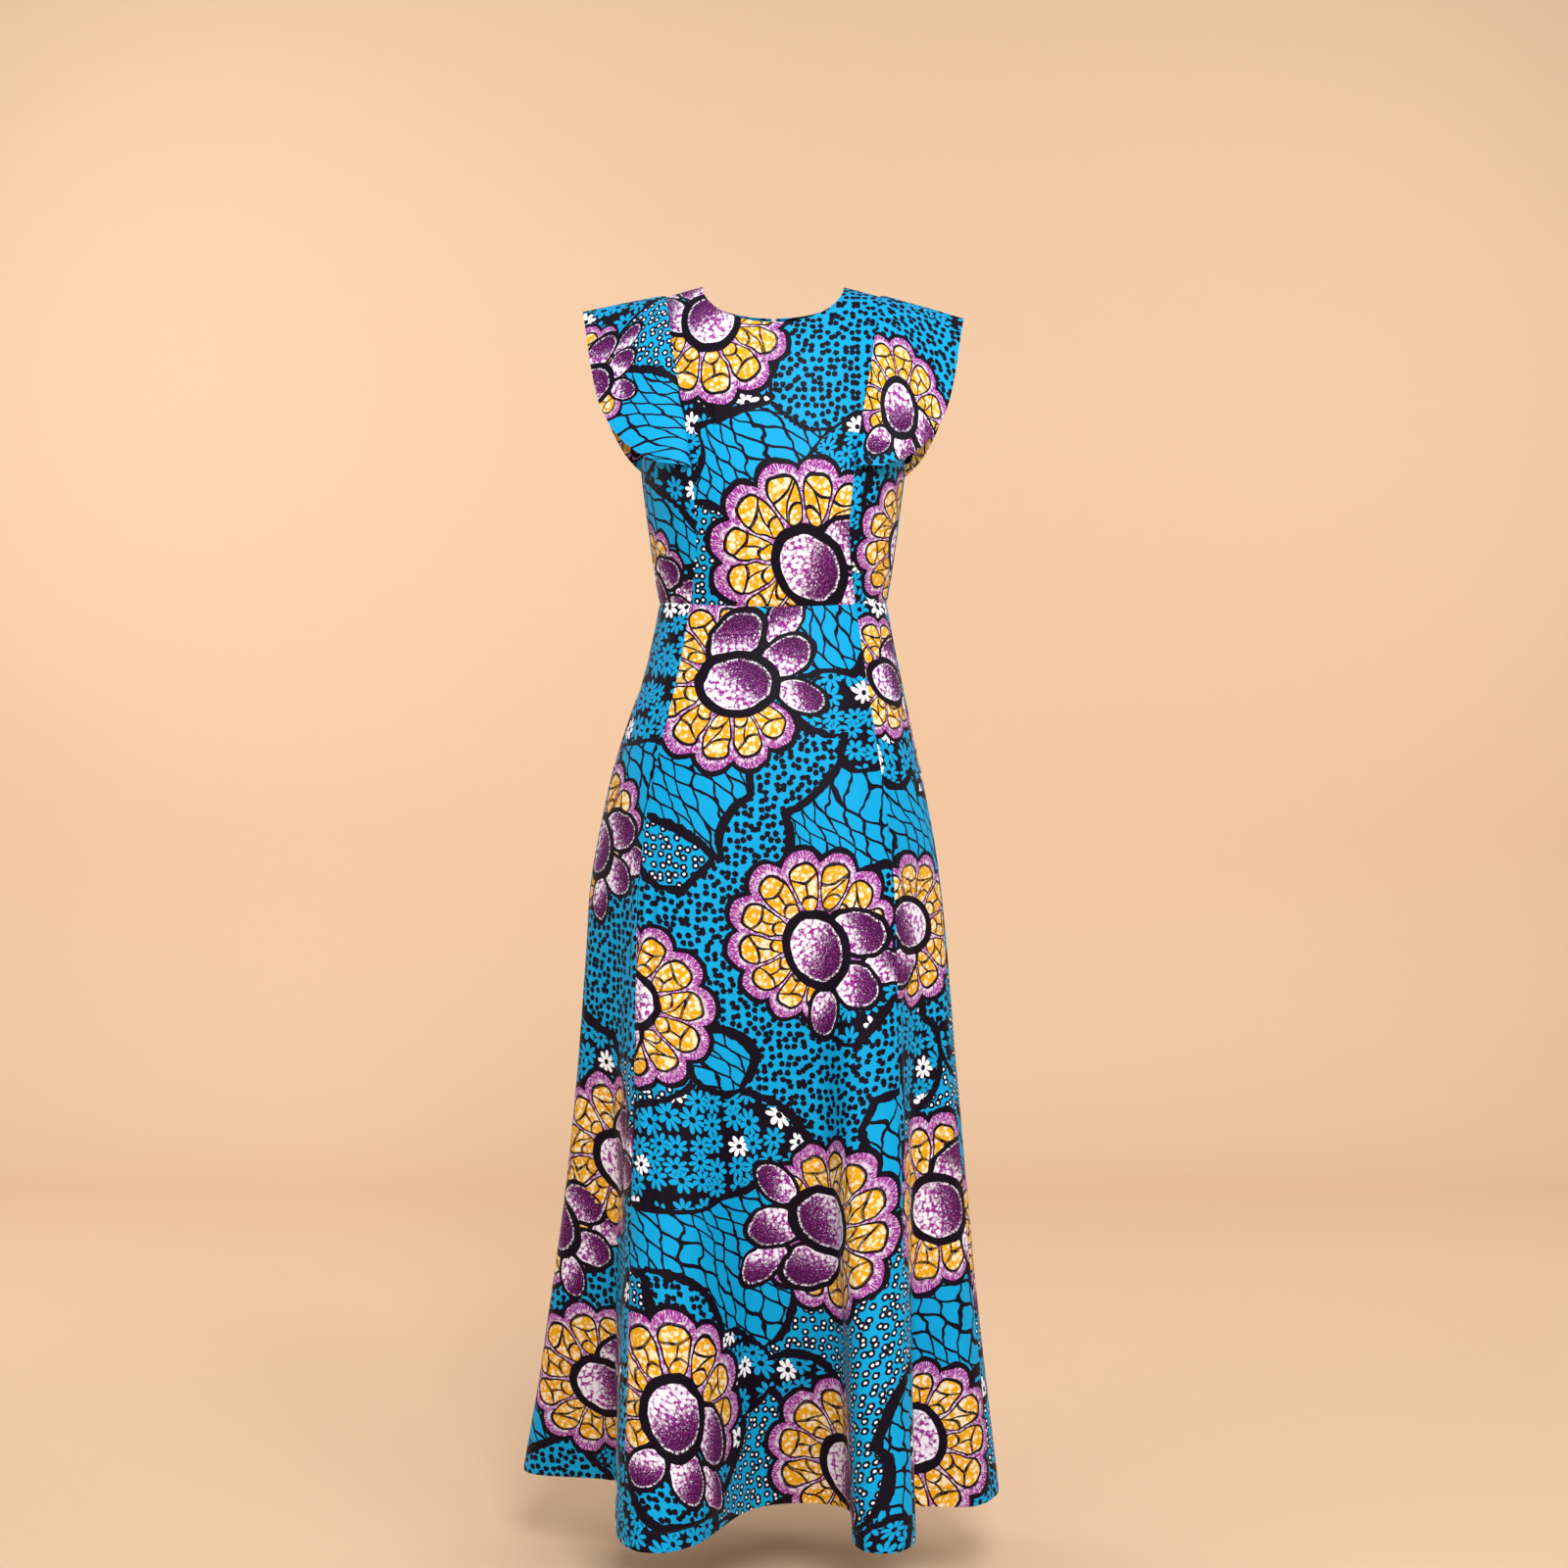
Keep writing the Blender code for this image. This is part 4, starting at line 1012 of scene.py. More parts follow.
class Wiring:
    """Adds nodes to a tree and joins them. Values may be sockets or plain numbers."""

    def __init__(self, tree):
        self.tree = tree

    def put(self, socket, value):
        if isinstance(value, bpy.types.NodeSocket):
            self.tree.links.new(value, socket)
        else:
            socket.default_value = value

    def fill(self, made, inputs):
        for name, value in inputs.items():
            self.put(made.inputs[name], value)

    def node(self, kind, *values, inputs=None, **settings):
        """New node with its settings, its first sockets in order and others by name."""
        made = self.tree.nodes.new(kind)
        for key, value in settings.items():
            setattr(made, key, value)
        for socket, value in zip(made.inputs, values):
            self.put(socket, value)
        self.fill(made, inputs or {})
        return made

    def math(self, operation, *values, clamp=False):
        return self.node("ShaderNodeMath", *values, operation=operation, use_clamp=clamp).outputs[0]

    def vector(self, operation, *values, scale=None):
        inputs = {} if scale is None else {"Scale": scale}
        made = self.node("ShaderNodeVectorMath", *values, inputs=inputs, operation=operation)
        return made.outputs["Value" if operation == "LENGTH" else "Vector"]

    def split(self, vector):
        return self.node("ShaderNodeSeparateXYZ", vector).outputs

    def join(self, x, y, z=0.0):
        return self.node("ShaderNodeCombineXYZ", x, y, z).outputs[0]

    def paint(self, mask, under, over):
        made = self.node("ShaderNodeMix", mask, data_type="RGBA")
        self.put(made.inputs[MIX_UNDER], under)
        self.put(made.inputs[MIX_OVER], over)
        return made.outputs[MIX_RESULT]

    def ramp(self, value, low, high, start=0.0, end=1.0):
        return self.node("ShaderNodeMapRange", value, low, high, start, end,
                         interpolation_type="SMOOTHSTEP").outputs[0]

    def noise(self, vector, scale, detail=2.0, dimensions="2D", output=0):
        inputs = {"Vector": vector, "Scale": scale, "Detail": detail}
        return self.node("ShaderNodeTexNoise", inputs=inputs,
                         noise_dimensions=dimensions).outputs[output]

    def cells(self, vector, scale, feature="F1", random=1.0):
        inputs = {"Vector": vector, "Scale": scale, "Randomness": random}
        return self.node("ShaderNodeTexVoronoi", inputs=inputs, voronoi_dimensions="2D",
                         feature=feature).outputs

    def line(self, value, slope, start):
        return self.math("MULTIPLY_ADD", value, slope, start)

    def minus(self, first, second):
        return self.math("SUBTRACT", first, second)

    def size(self, value):
        return self.math("ABSOLUTE", value)

    def below(self, value, limit):
        return self.math("LESS_THAN", value, limit)

    def above(self, value, limit):
        return self.math("GREATER_THAN", value, limit)

    def fold(self, operation, *values):
        return reduce(partial(self.math, operation), values)

    def sum(self, *values):
        return self.fold("ADD", *values)

    def product(self, *values):
        return self.fold("MULTIPLY", *values)

    def any_of(self, *masks):
        return self.fold("MAXIMUM", *masks)

    def oval(self, x, y, centre, radii, degrees):
        """Distance from an oval's middle: 1 on its edge. Returns it with its own x and y."""
        turn = math.radians(degrees)
        dx, dy = self.minus(x, centre[0]), self.minus(y, centre[1])
        own_x = self.line(dx, math.cos(turn) / radii[0],
                          self.product(dy, math.sin(turn) / radii[0]))
        own_y = self.line(dx, -math.sin(turn) / radii[1],
                          self.product(dy, math.cos(turn) / radii[1]))
        return self.vector("LENGTH", self.join(own_x, own_y)), own_x, own_y


def add_sockets(tree, inputs, outputs):
    for label, kind, default in inputs:
        socket = tree.interface.new_socket(name=label, in_out="INPUT", socket_type=kind)
        if default is not None:
            socket.default_value = default
    for label, kind in outputs:
        tree.interface.new_socket(name=label, in_out="OUTPUT", socket_type=kind)


def new_group(name, inputs, outputs, kind="ShaderNodeTree"):
    """New node group with named sockets, as its wiring, its input sockets and its output node."""
    tree = bpy.data.node_groups.new(name, kind)
    add_sockets(tree, inputs, outputs)
    wiring = Wiring(tree)
    return wiring, wiring.node("NodeGroupInput").outputs, wiring.node("NodeGroupOutput").inputs


def use_group(wiring, group, **values):
    return wiring.node("ShaderNodeGroup", inputs=values, node_tree=group).outputs


VECTOR, FLOAT, COLOUR = "NodeSocketVector", "NodeSocketFloat", "NodeSocketColor"
GROUPS = {}

# ---- Wax crackle -------------------------------------------------------------------------------
# Scales are blotches or cells to the metre.
WANDER_SCALE = 120.0
WANDER_REACH = 0.003
BLOTCH_SCALE = 165.0
STRENGTH_SCALE = 62.0
STRENGTH = 0.85
BLOTCH_EDGE = (-0.02, -0.16)
NET_SCALE = 118.0
NET_WIDTH = (0.10, 0.02)
NET_BREAK_SCALE = 260.0
NET_BREAKS = (0.40, 0.55)
NET_WHITE = 0.8


def crackle_group():
    """White crackle that hot wax leaves in a dyed area: blotches and a fine broken net."""
    w, given, out = new_group("Wax crackle", [("Place", VECTOR, None), ("Size", FLOAT, 1.0)],
                              [("White", FLOAT)])
    wander = w.noise(given["Place"], WANDER_SCALE, 1.0)
    place = w.vector("ADD", given["Place"],
                     w.vector("SCALE", w.join(wander, wander), scale=WANDER_REACH))
    spots = w.cells(place, w.product(BLOTCH_SCALE, given["Size"]))
    strength = w.noise(place, w.product(STRENGTH_SCALE, given["Size"]))
    blotch = w.ramp(spots["Distance"], *(w.line(strength, STRENGTH, end) for end in BLOTCH_EDGE))
    net = w.cells(place, w.product(NET_SCALE, given["Size"]), "DISTANCE_TO_EDGE")
    lines = w.product(w.ramp(net["Distance"], *NET_WIDTH),
                      w.ramp(w.noise(place, NET_BREAK_SCALE, 1.0), *NET_BREAKS), NET_WHITE)
    w.put(out["White"], w.math("MAXIMUM", blotch, lines, clamp=True))
    return w.tree


# ---- The print's colours (linear) and drawing --------------------------------------------------
SKY = (0.0, 0.33, 0.66, 1.0)
INK = (0.003, 0.0, 0.006, 1.0)
PURPLE = (0.29, 0.020, 0.275, 1.0)
DEEP_PURPLE = (0.045, 0.002, 0.045, 1.0)
WHITE = (0.90, 0.92, 1.0, 1.0)
YELLOW = (0.76, 0.355, 0.0, 1.0)
PALE_YELLOW = (0.92, 0.84, 0.64, 1.0)

# Dye in the ovals. Depth is 0 in their light part and grows towards the lower right. A fade is
# the depth where it starts, the depth where it ends and what it runs between.
DYE_CRACKLE = 1.15
BUBBLE_SCALE = 150.0
BUBBLE_FADE = (0.80, 0.0, 0.08, 0.46)
BUBBLE_EDGE = 0.10
BUBBLE_WHITE = 0.95
CRACKLE_FADE = (0.75, 0.10, 0.06, 0.75)
DYE_WHITE = 0.92
SPECK_SCALE = 620.0
SPECK_GROWTH = 0.30
SPECK_EDGE = (0.58, 0.64)
SPECK_FADE = (0.10, 0.5)
RIM_SCALE = 330.0
RIM_EDGE = (0.42, 0.60)
RIM_WHITE = 0.8


def dye_group():
    """Purple area: white crackle above, a shower of dark specks towards its lower right."""
    w, given, out = new_group(
        "Purple dye", [("Place", VECTOR, None), ("Depth", FLOAT, 0.0), ("Rim", FLOAT, 0.0)],
        [("Colour", COLOUR)])
    place, depth = given["Place"], given["Depth"]
    white = use_group(w, GROUPS["crackle"], Place=place, Size=DYE_CRACKLE)["White"]
    fine = w.noise(place, SPECK_SCALE, 1.0)
    size = w.ramp(depth, *BUBBLE_FADE)
    bubbles = w.cells(place, BUBBLE_SCALE)["Distance"]
    bubbles = w.ramp(bubbles, size, w.minus(size, BUBBLE_EDGE))
    light = w.any_of(w.product(bubbles, BUBBLE_WHITE),
                     w.product(white, w.ramp(depth, *CRACKLE_FADE)))
    colour = w.paint(w.product(light, DYE_WHITE), PURPLE, WHITE)
    specks = w.ramp(w.sum(fine, w.product(depth, SPECK_GROWTH)), *SPECK_EDGE)
    colour = w.paint(w.product(specks, w.ramp(depth, *SPECK_FADE)), colour, DEEP_PURPLE)
    rim = w.product(given["Rim"], w.ramp(w.noise(place, RIM_SCALE), *RIM_EDGE), RIM_WHITE)
    w.put(out["Colour"], w.paint(rim, colour, WHITE))
    return w.tree


# Ovals of a flower, bottom layer first, in shares of its radius.
Oval = namedtuple("Oval", "x y width height degrees outline speck")
OVALS = (
    Oval(-0.40, -0.56, 0.14, 0.23, -46, 1.26, 0.50),
    Oval(0.36, -0.68, 0.15, 0.26, 40, 1.24, 0.42),
    Oval(0.02, -0.58, 0.18, 0.25, 8, 1.22, 0.46),
    Oval(0.37, -0.20, 0.20, 0.29, 26, 1.24, 0.52),
    Oval(-0.06, -0.04, 0.25, 0.32, -16, 1.32, 0.40),
)
OVAL_RIM = (0.88, 0.96)
DEPTH_ACROSS = 0.35
DEPTH_DOWN = 0.5
DEPTH_START = 0.05

# A petal's rings: middle and half length as shares of the radius, half width as a share of the
# petal's pitch, and how square it is.
Ring = namedtuple("Ring", "middle half wide square")
PETAL = Ring(0.555, 0.265, 0.95, 2.6)
FRINGE = Ring(0.55, 0.40, 1.34, 2.0)
OUTLINE = Ring(0.55, 0.46, 1.50, 2.0)
PETAL_VARIES = 0.03
YELLOW_EDGE = 0.87
VEIN_EDGE = 0.95
FAN_WOBBLE_SCALE = 42.0
FAN_WOBBLE = 0.05
FAN_SHRINK = 0.30             # petals far round the fan are shorter by up to this share
FAN_SHRINK_POWER = 1.6
FAN_HALF = 4.0                # petals to each side of the middle one, and one more on some flowers
WIDE_FAN = 0.45
PETAL_CRACKLE = 0.85
STREAKS = 9.0
STREAK_SCALE = 2.4
STREAK_EDGE = (0.55, 0.63)
FRINGE_CRACKLE = (1.24, 1.06)
FRINGE_WHITE = 0.62
CRACKLE_POWER = 1.6
CRACKLE_PALE = 0.75
# Two arcs across a petal and a slanting line between them: place at the middle, bow and width.
UPPER_ARC = (0.24, 0.30)
LOWER_ARC = (-0.30, -0.34)
ARC_WIDTH = 0.062
ARC_LEAN = 0.9
SLANT = 2.6
SLANT_WIDTH = 0.085
SLANT_ASIDE = 0.06


def petal_ring(w, reach, aside, ring, shift=0.0):
    """Distance from a petal's middle, 1 on the ring, with the ring's own two coordinates."""
    along = w.math("DIVIDE", w.minus(reach, w.sum(shift, ring.middle)), ring.half)
    across = w.math("DIVIDE", aside, ring.wide)
    corner = w.sum(*(w.math("POWER", w.size(value), ring.square) for value in (along, across)))
    return w.math("POWER", corner, 1 / ring.square), along, across


def petal_veins(w, along, across, chance):
    """Thin dark lines that part a petal into cells."""
    lean = w.line(chance, ARC_LEAN, -ARC_LEAN / 2)
    bow = w.product(across, across)
    upper, lower = (w.line(across, lean, w.line(bow, bend, start))
                    for start, bend in (UPPER_ARC, LOWER_ARC))
    arcs = [w.below(w.size(w.minus(along, arc)), ARC_WIDTH) for arc in (upper, lower)]
    slant = w.line(along, w.line(chance, SLANT, -SLANT / 2), SLANT_ASIDE)
    between = w.product(w.below(along, upper), w.above(along, lower))
    return w.any_of(*arcs, w.product(w.below(w.size(w.minus(across, slant)), SLANT_WIDTH),
                                     between))


def flower_group():
    """Fan of petals round a heap of ovals, in the flower's own coordinates with radius 1."""
    w, given, out = new_group(
        "Fan flower", [("Place", VECTOR, None), ("Petals", FLOAT, 10.0), ("Variety", FLOAT, 0.5),
                       ("Cloth", VECTOR, None)], [("Colour", COLOUR), ("Mask", FLOAT)])
    cloth, variety = given["Cloth"], given["Variety"]
    push = w.line(w.noise(cloth, FAN_WOBBLE_SCALE, 1.0), FAN_WOBBLE, -FAN_WOBBLE / 2)
    x, y, _ = w.split(w.vector("ADD", given["Place"], w.join(push, push)))
    angle = w.math("ARCTAN2", x, y)
    turn = w.math("DIVIDE", w.size(angle), math.pi)
    shrink = w.line(w.math("POWER", turn, FAN_SHRINK_POWER), -FAN_SHRINK, 1.0)
    reach = w.math("DIVIDE", w.vector("LENGTH", w.join(x, y)), shrink)
    pitch = w.math("DIVIDE", 2 * math.pi, given["Petals"])
    last = w.sum(FAN_HALF, w.above(variety, WIDE_FAN))
    number = w.math("ROUND", w.math("DIVIDE", angle, pitch))
    number = w.any_of(w.math("MINIMUM", number, last), w.product(last, -1.0))
    aside = w.math("DIVIDE", w.minus(angle, w.product(number, pitch)), w.product(pitch, 0.5))
    chance = w.node("ShaderNodeTexWhiteNoise", inputs={"W": w.line(variety, 31.0, number)},
                    noise_dimensions="1D").outputs["Value"]

    body, along, across = petal_ring(w, reach, aside, PETAL, w.product(chance, PETAL_VARIES))
    fringe_ring, _, _ = petal_ring(w, reach, aside, FRINGE)
    outline, _, _ = petal_ring(w, reach, aside, OUTLINE)
    white = use_group(w, GROUPS["crackle"], Place=cloth, Size=PETAL_CRACKLE)["White"]
    streaks = w.noise(w.join(w.product(w.math("ARCTAN2", along, across), STREAKS),
                             w.line(number, 7.0, w.product(body, 3.0))), STREAK_SCALE)
    fringe = w.any_of(w.ramp(streaks, *STREAK_EDGE),
                      w.product(white, w.ramp(body, *FRINGE_CRACKLE)))
    colour = w.paint(w.below(fringe_ring, 1.0), INK,
                     w.paint(w.product(fringe, FRINGE_WHITE), PURPLE, WHITE))
    colour = w.paint(w.below(body, 1.0), colour, INK)
    pale = w.product(w.math("POWER", white, CRACKLE_POWER), CRACKLE_PALE)
    colour = w.paint(w.below(body, YELLOW_EDGE), colour, w.paint(pale, YELLOW, PALE_YELLOW))
    veins = petal_veins(w, along, across, chance)
    colour = w.paint(w.product(veins, w.below(body, VEIN_EDGE)), colour, INK)
    mask = w.below(outline, 1.0)
    for oval in OVALS:
        edge, own_x, own_y = w.oval(x, y, (oval.x, oval.y), (oval.width, oval.height),
                                    oval.degrees)
        around_it = w.below(edge, oval.outline)
        depth = w.line(own_x, DEPTH_ACROSS,
                       w.line(own_y, -DEPTH_DOWN, oval.speck - DEPTH_START))
        dye = use_group(w, GROUPS["dye"], Place=cloth, Depth=depth,
                        Rim=w.ramp(edge, *OVAL_RIM))["Colour"]
        colour = w.paint(around_it, colour, w.paint(w.below(edge, 1.0), INK, dye))
        mask = w.any_of(mask, around_it)
    w.put(out["Colour"], colour)
    w.put(out["Mask"], mask)
    return w.tree


# ---- The ground's drawing ----------------------------------------------------------------------
# Scales are motifs or waves to the metre. Sizes of blobs, dots and daisies are shares of a cell.
BEND_SCALE = 11.0             # how the borders between patches sway
BEND = 0.011
LEAF_BEND_AWAY = (3.0, 1.0, 0.0)
BAND = 0.0054                 # half the width of the dark bands between patches
BAND_SWELL_SCALE = 7.0
BAND_SWELL = (1.5 * BAND, 0.25 * BAND)
BAND_RUFFLE_SCALE = 150.0
BAND_RUFFLE = 0.0012
ROUGH_SCALE = 420.0
BLOB_SCALE = 112.0
BLOB_RANDOM = 0.72
BLOB_SIZE = (0.30, 0.24)      # grows with the cloth's roughness, from its smallest
RING_SCALE = 100.0
RING_RANDOM = 0.66
RING_SIZE = (0.20, 0.33)
DOT_SIZE = (0.12, 0.10)
DAISY_SCALE = 42.0
DAISY_RANDOM = 0.58
DAISY_DRIFT_SCALE = 13.0
DAISY_DRIFT = 0.024
DAISY_REACH = 0.575
DAISY_EYE = 0.13
DAISY_LOBES = 4.0             # each gives two petals
DAISY_TURN = 6.0
DAISY_ROUND = 0.50
WHITE_SMALLER = 0.02
WHITE_DAISIES = 0.86          # those whose chance is above this are white
LEAF_WIDTH = 0.0100
LEAF_LENGTH = 0.047
LEAF_LINE = 0.00105
LEAF_SWING = 0.46
LEAF_STIR_SCALE = 9.0
LEAF_STIR = 0.062
LEAF_WAVER_SCALE = 60.0
LEAF_WAVER = (0.010, -0.008, 0.0)
LEAF_LEAN = (0.80, 0.60)      # cosine and sine of the leaf rows' lean


def kind_masks(w, fields):
    """Masks of the four kinds of ground, and how far the next kind is from each place."""
    first = w.fold("MINIMUM", *fields)
    owns = [w.below(field, w.sum(first, 1e-6)) for field in fields]
    others = [w.sum(field, w.product(own, 9.0)) for field, own in zip(fields, owns)]
    return owns, w.minus(w.fold("MINIMUM", *others), first)


def daisy_bed(w, cloth):
    """Blue and a few white daisies on dark ground."""
    drift = w.noise(cloth, DAISY_DRIFT_SCALE, 1.0)
    bed = w.vector("ADD", cloth, w.vector("SCALE", w.join(drift, w.minus(1.0, drift)),
                                          scale=DAISY_DRIFT))
    daisies = w.cells(bed, DAISY_SCALE, random=DAISY_RANDOM)
    own = w.vector("SCALE", w.vector("SUBTRACT", bed, daisies["Position"]), scale=DAISY_SCALE)
    own_x, own_y, _ = w.split(own)
    chance = w.split(daisies["Color"])[0]
    lobes = w.size(w.math("COSINE", w.line(w.math("ARCTAN2", own_x, own_y), DAISY_LOBES,
                                           w.product(chance, DAISY_TURN))))
    far = w.vector("LENGTH", own)
    rare = w.above(chance, WHITE_DAISIES)
    reach = w.line(rare, -WHITE_SMALLER, DAISY_REACH)
    edge = w.product(reach, w.math("POWER", lobes, DAISY_ROUND))
    petal = w.product(w.below(far, edge), w.above(far, DAISY_EYE))
    return w.paint(petal, INK, w.paint(rare, SKY, WHITE))


def leaf_net(w, cloth):
    """Rows of long leaf cells, drawn by dark lines that meet and part."""
    waver = w.noise(cloth, LEAF_WAVER_SCALE, 1.0)
    tilted = w.vector("MULTIPLY_ADD", w.noise(cloth, LEAF_STIR_SCALE, 1.5, output="Color"),
                      (LEAF_STIR,) * 3, cloth)
    tilted = w.vector("MULTIPLY_ADD", w.join(waver, waver), LEAF_WAVER, tilted)
    u, v, _ = w.split(tilted)
    lean, rise = LEAF_LEAN
    p = w.line(u, lean, w.product(v, rise))
    q = w.line(v, lean, w.product(u, -rise))
    number = w.math("ROUND", w.math("DIVIDE", p, LEAF_WIDTH))
    way = w.math("COSINE", w.product(number, math.pi))
    turn = w.product(q, 2 * math.pi / LEAF_LENGTH)
    swing = w.product(w.math("SINE", turn), way, LEAF_SWING * LEAF_WIDTH)
    gap = w.size(w.minus(w.minus(p, w.product(number, LEAF_WIDTH)), swing))
    steep = w.line(w.size(w.math("COSINE", turn)), 0.7 * LEAF_LINE, LEAF_LINE)
    return w.paint(w.below(gap, steep), SKY, INK)


def ground_group():
    """Sky-blue ground in patches of four kinds, parted by dark bands."""
    w, given, out = new_group(
        "Patched ground", [("Cloth", VECTOR, None), ("Near", VECTOR, None), ("Leaf", FLOAT, 1.0)],
        [("Colour", COLOUR)])
    cloth = given["Cloth"]
    bend = w.noise(cloth, BEND_SCALE, 1.0, output="Color")
    bent = w.split(w.vector("MULTIPLY_ADD", bend, (BEND,) * 3, given["Near"]))
    away = w.noise(w.vector("ADD", cloth, LEAF_BEND_AWAY), BEND_SCALE, 1.0)
    owns, lead = kind_masks(w, [*bent, w.line(away, BEND, given["Leaf"])])
    ruffle = w.line(w.noise(cloth, BAND_RUFFLE_SCALE, 1.0), BAND_RUFFLE, -BAND_RUFFLE / 2)
    swell = w.line(w.noise(cloth, BAND_SWELL_SCALE, 1.0), *BAND_SWELL)
    band = w.below(w.sum(lead, ruffle), swell)

    rough = w.noise(cloth, ROUGH_SCALE, 1.0)
    blob = w.cells(cloth, BLOB_SCALE, random=BLOB_RANDOM)["Distance"]
    ring = w.cells(cloth, RING_SCALE, random=RING_RANDOM)["Distance"]
    ringed = w.paint(w.below(ring, w.line(rough, *RING_SIZE)), SKY, INK)
    ringed = w.paint(w.below(ring, w.line(rough, *DOT_SIZE)), ringed, WHITE)
    colour = w.paint(w.below(blob, w.line(rough, *BLOB_SIZE)), SKY, INK)
    kinds = (ringed, daisy_bed(w, cloth), leaf_net(w, cloth))
    for own, drawn in zip(owns[1:], kinds):
        colour = w.paint(own, colour, drawn)
    w.put(out["Colour"], w.paint(band, colour, INK))
    return w.tree


# ---- Weave and seam pucker ---------------------------------------------------------------------
THREAD_PITCH = 0.00042
THREAD_HEIGHT = 0.05
SLUB_STRETCH = (1.0, 9.0, 1.0)
SLUB_SCALE = 210.0
SLUB_HEIGHT = 0.14
PUCKER_SCALE = 95.0
PUCKER_REACH = (0.012, 0.001)
PUCKER_HEIGHT = 2.4
WEAR_SCALE = 7.0


def weave_group():
    """Height of a plain weave, with slubs, and of the pucker along the seams."""
    w, given, out = new_group("Plain weave", [("Cloth", VECTOR, None), ("Seam", FLOAT, 1.0)],
                              [("Height", FLOAT), ("Wear", FLOAT)])
    cloth = given["Cloth"]
    u, v, _ = w.split(w.vector("SCALE", cloth, scale=2 * math.pi / THREAD_PITCH))
    threads = w.product(w.math("SINE", u), w.math("SINE", v))
    slub = w.noise(w.vector("MULTIPLY", cloth, SLUB_STRETCH), SLUB_SCALE)
    pucker = w.product(w.noise(cloth, PUCKER_SCALE, 1.0), w.ramp(given["Seam"], *PUCKER_REACH))
    w.put(out["Height"], w.sum(w.product(threads, THREAD_HEIGHT), w.product(slub, SLUB_HEIGHT),
                               w.product(pucker, PUCKER_HEIGHT)))
    w.put(out["Wear"], w.ramp(w.noise(cloth, WEAR_SCALE, 3.0), 0.3, 0.7))
    return w.tree


# ---- Finishes ----------------------------------------------------------------------------------
# A bump is its strength, and how high a height of 1 stands, in metres.
CLOTH_BUMP = (0.55, 0.0003)
TAPE_BUMP = (0.6, 0.0002)
BRASS_BUMP = (0.25, 0.0001)
WEAR_SHADE = (0.06, 0.96)
WEAR_DULLS = 0.10
CLOTH_GLOSS = {"Sheen Weight": 0.02, "Sheen Roughness": 0.45, "Specular IOR Level": 0.12}


def new_material(name, rough, metallic=0.0):
    made = bpy.data.materials.new(name)
    made.use_nodes = True
    shader = made.node_tree.nodes["Principled BSDF"]
    shader.inputs["Roughness"].default_value = rough
    shader.inputs["Metallic"].default_value = metallic
    return made, Wiring(made.node_tree), shader


def raise_surface(w, shader, height, bump):
    strength, distance = bump
    w.put(shader.inputs["Normal"], w.node("ShaderNodeBump", inputs={
        "Height": height, "Strength": strength, "Distance": distance}).outputs[0])


def map_of(w, name):
    return w.node("ShaderNodeUVMap", uv_map=name).outputs[0]


def point_value(w, name, output):
    return w.node("ShaderNodeAttribute", attribute_name=name).outputs[output]


def object_place(w):
    return w.node("ShaderNodeTexCoord").outputs["Object"]


def cloth_material(looks):
    """Printed cotton: flowers over the patched ground, a plain weave and a low wax gloss."""
    made, w, shader = new_material("Wax print cotton", looks.cloth_rough)
    cloth = map_of(w, "Cloth")
    petals, variety, _ = w.split(map_of(w, "Look"))
    ground = use_group(w, GROUPS["ground"], Cloth=cloth,
                       Near=point_value(w, "near_kinds", "Vector"),
                       Leaf=point_value(w, "leaf_kind", "Fac"))["Colour"]
    flower = use_group(w, GROUPS["flower"], Place=map_of(w, "Flower"), Petals=petals,
                       Variety=variety, Cloth=cloth)
    weave = use_group(w, GROUPS["weave"], Cloth=cloth, Seam=point_value(w, "seam", "Fac"))
    colour = w.paint(flower["Mask"], ground, flower["Colour"])
    worn = w.node("ShaderNodeHueSaturation", inputs={
        "Value": w.line(weave["Wear"], *WEAR_SHADE), "Color": colour})
    raise_surface(w, shader, weave["Height"], CLOTH_BUMP)
    dull = w.line(weave["Wear"], WEAR_DULLS, looks.cloth_rough - WEAR_DULLS / 2)
    w.fill(shader, {"Base Color": worn.outputs[0], "Roughness": dull, **CLOTH_GLOSS})
    return made


def mottled_material(name, rough, scale, dark, light, sheen=0.0):
    """Dull finish between two colours, mottled finely."""
    made, w, shader = new_material(name, rough)
    shade = w.noise(object_place(w), scale, dimensions="3D")
    w.fill(shader, {"Base Color": w.paint(shade, dark, light), "Sheen Weight": sheen})
    return made


def thread_material():
    return mottled_material("Sewing thread", 0.7, 2400.0, (0.006, 0.004, 0.010, 1.0),
                            (0.045, 0.030, 0.060, 1.0), sheen=0.1)


def teeth_material():
    return mottled_material("Zip teeth", 0.38, 900.0, (0.010, 0.070, 0.125, 1.0),
                            (0.020, 0.110, 0.185, 1.0))


TAPE_THREAD = 0.0011
TAPE_DARK = (0.008, 0.050, 0.095, 1.0)
TAPE_LIGHT = (0.020, 0.115, 0.190, 1.0)
TAPE_STRIPE = (0.006, 0.030, 0.060, 1.0)
TAPE_STRIPE_EDGE = (0.0098, 0.0104)


def tape_material():
    """Woven zip tape with a darker stripe along its edges."""
    made, w, shader = new_material("Zip tape", 0.8)
    cloth = map_of(w, "Cloth")
    u, v, _ = w.split(w.vector("SCALE", cloth, scale=2 * math.pi / TAPE_THREAD))
    twill = w.line(w.math("SINE", w.sum(u, v)), 0.5, 0.5)
    stripe = w.ramp(w.size(w.split(cloth)[0]), *TAPE_STRIPE_EDGE)
    colour = w.paint(w.product(stripe, 0.6), w.paint(twill, TAPE_DARK, TAPE_LIGHT), TAPE_STRIPE)
    w.put(shader.inputs["Base Color"], colour)
    raise_surface(w, shader, twill, TAPE_BUMP)
    return made


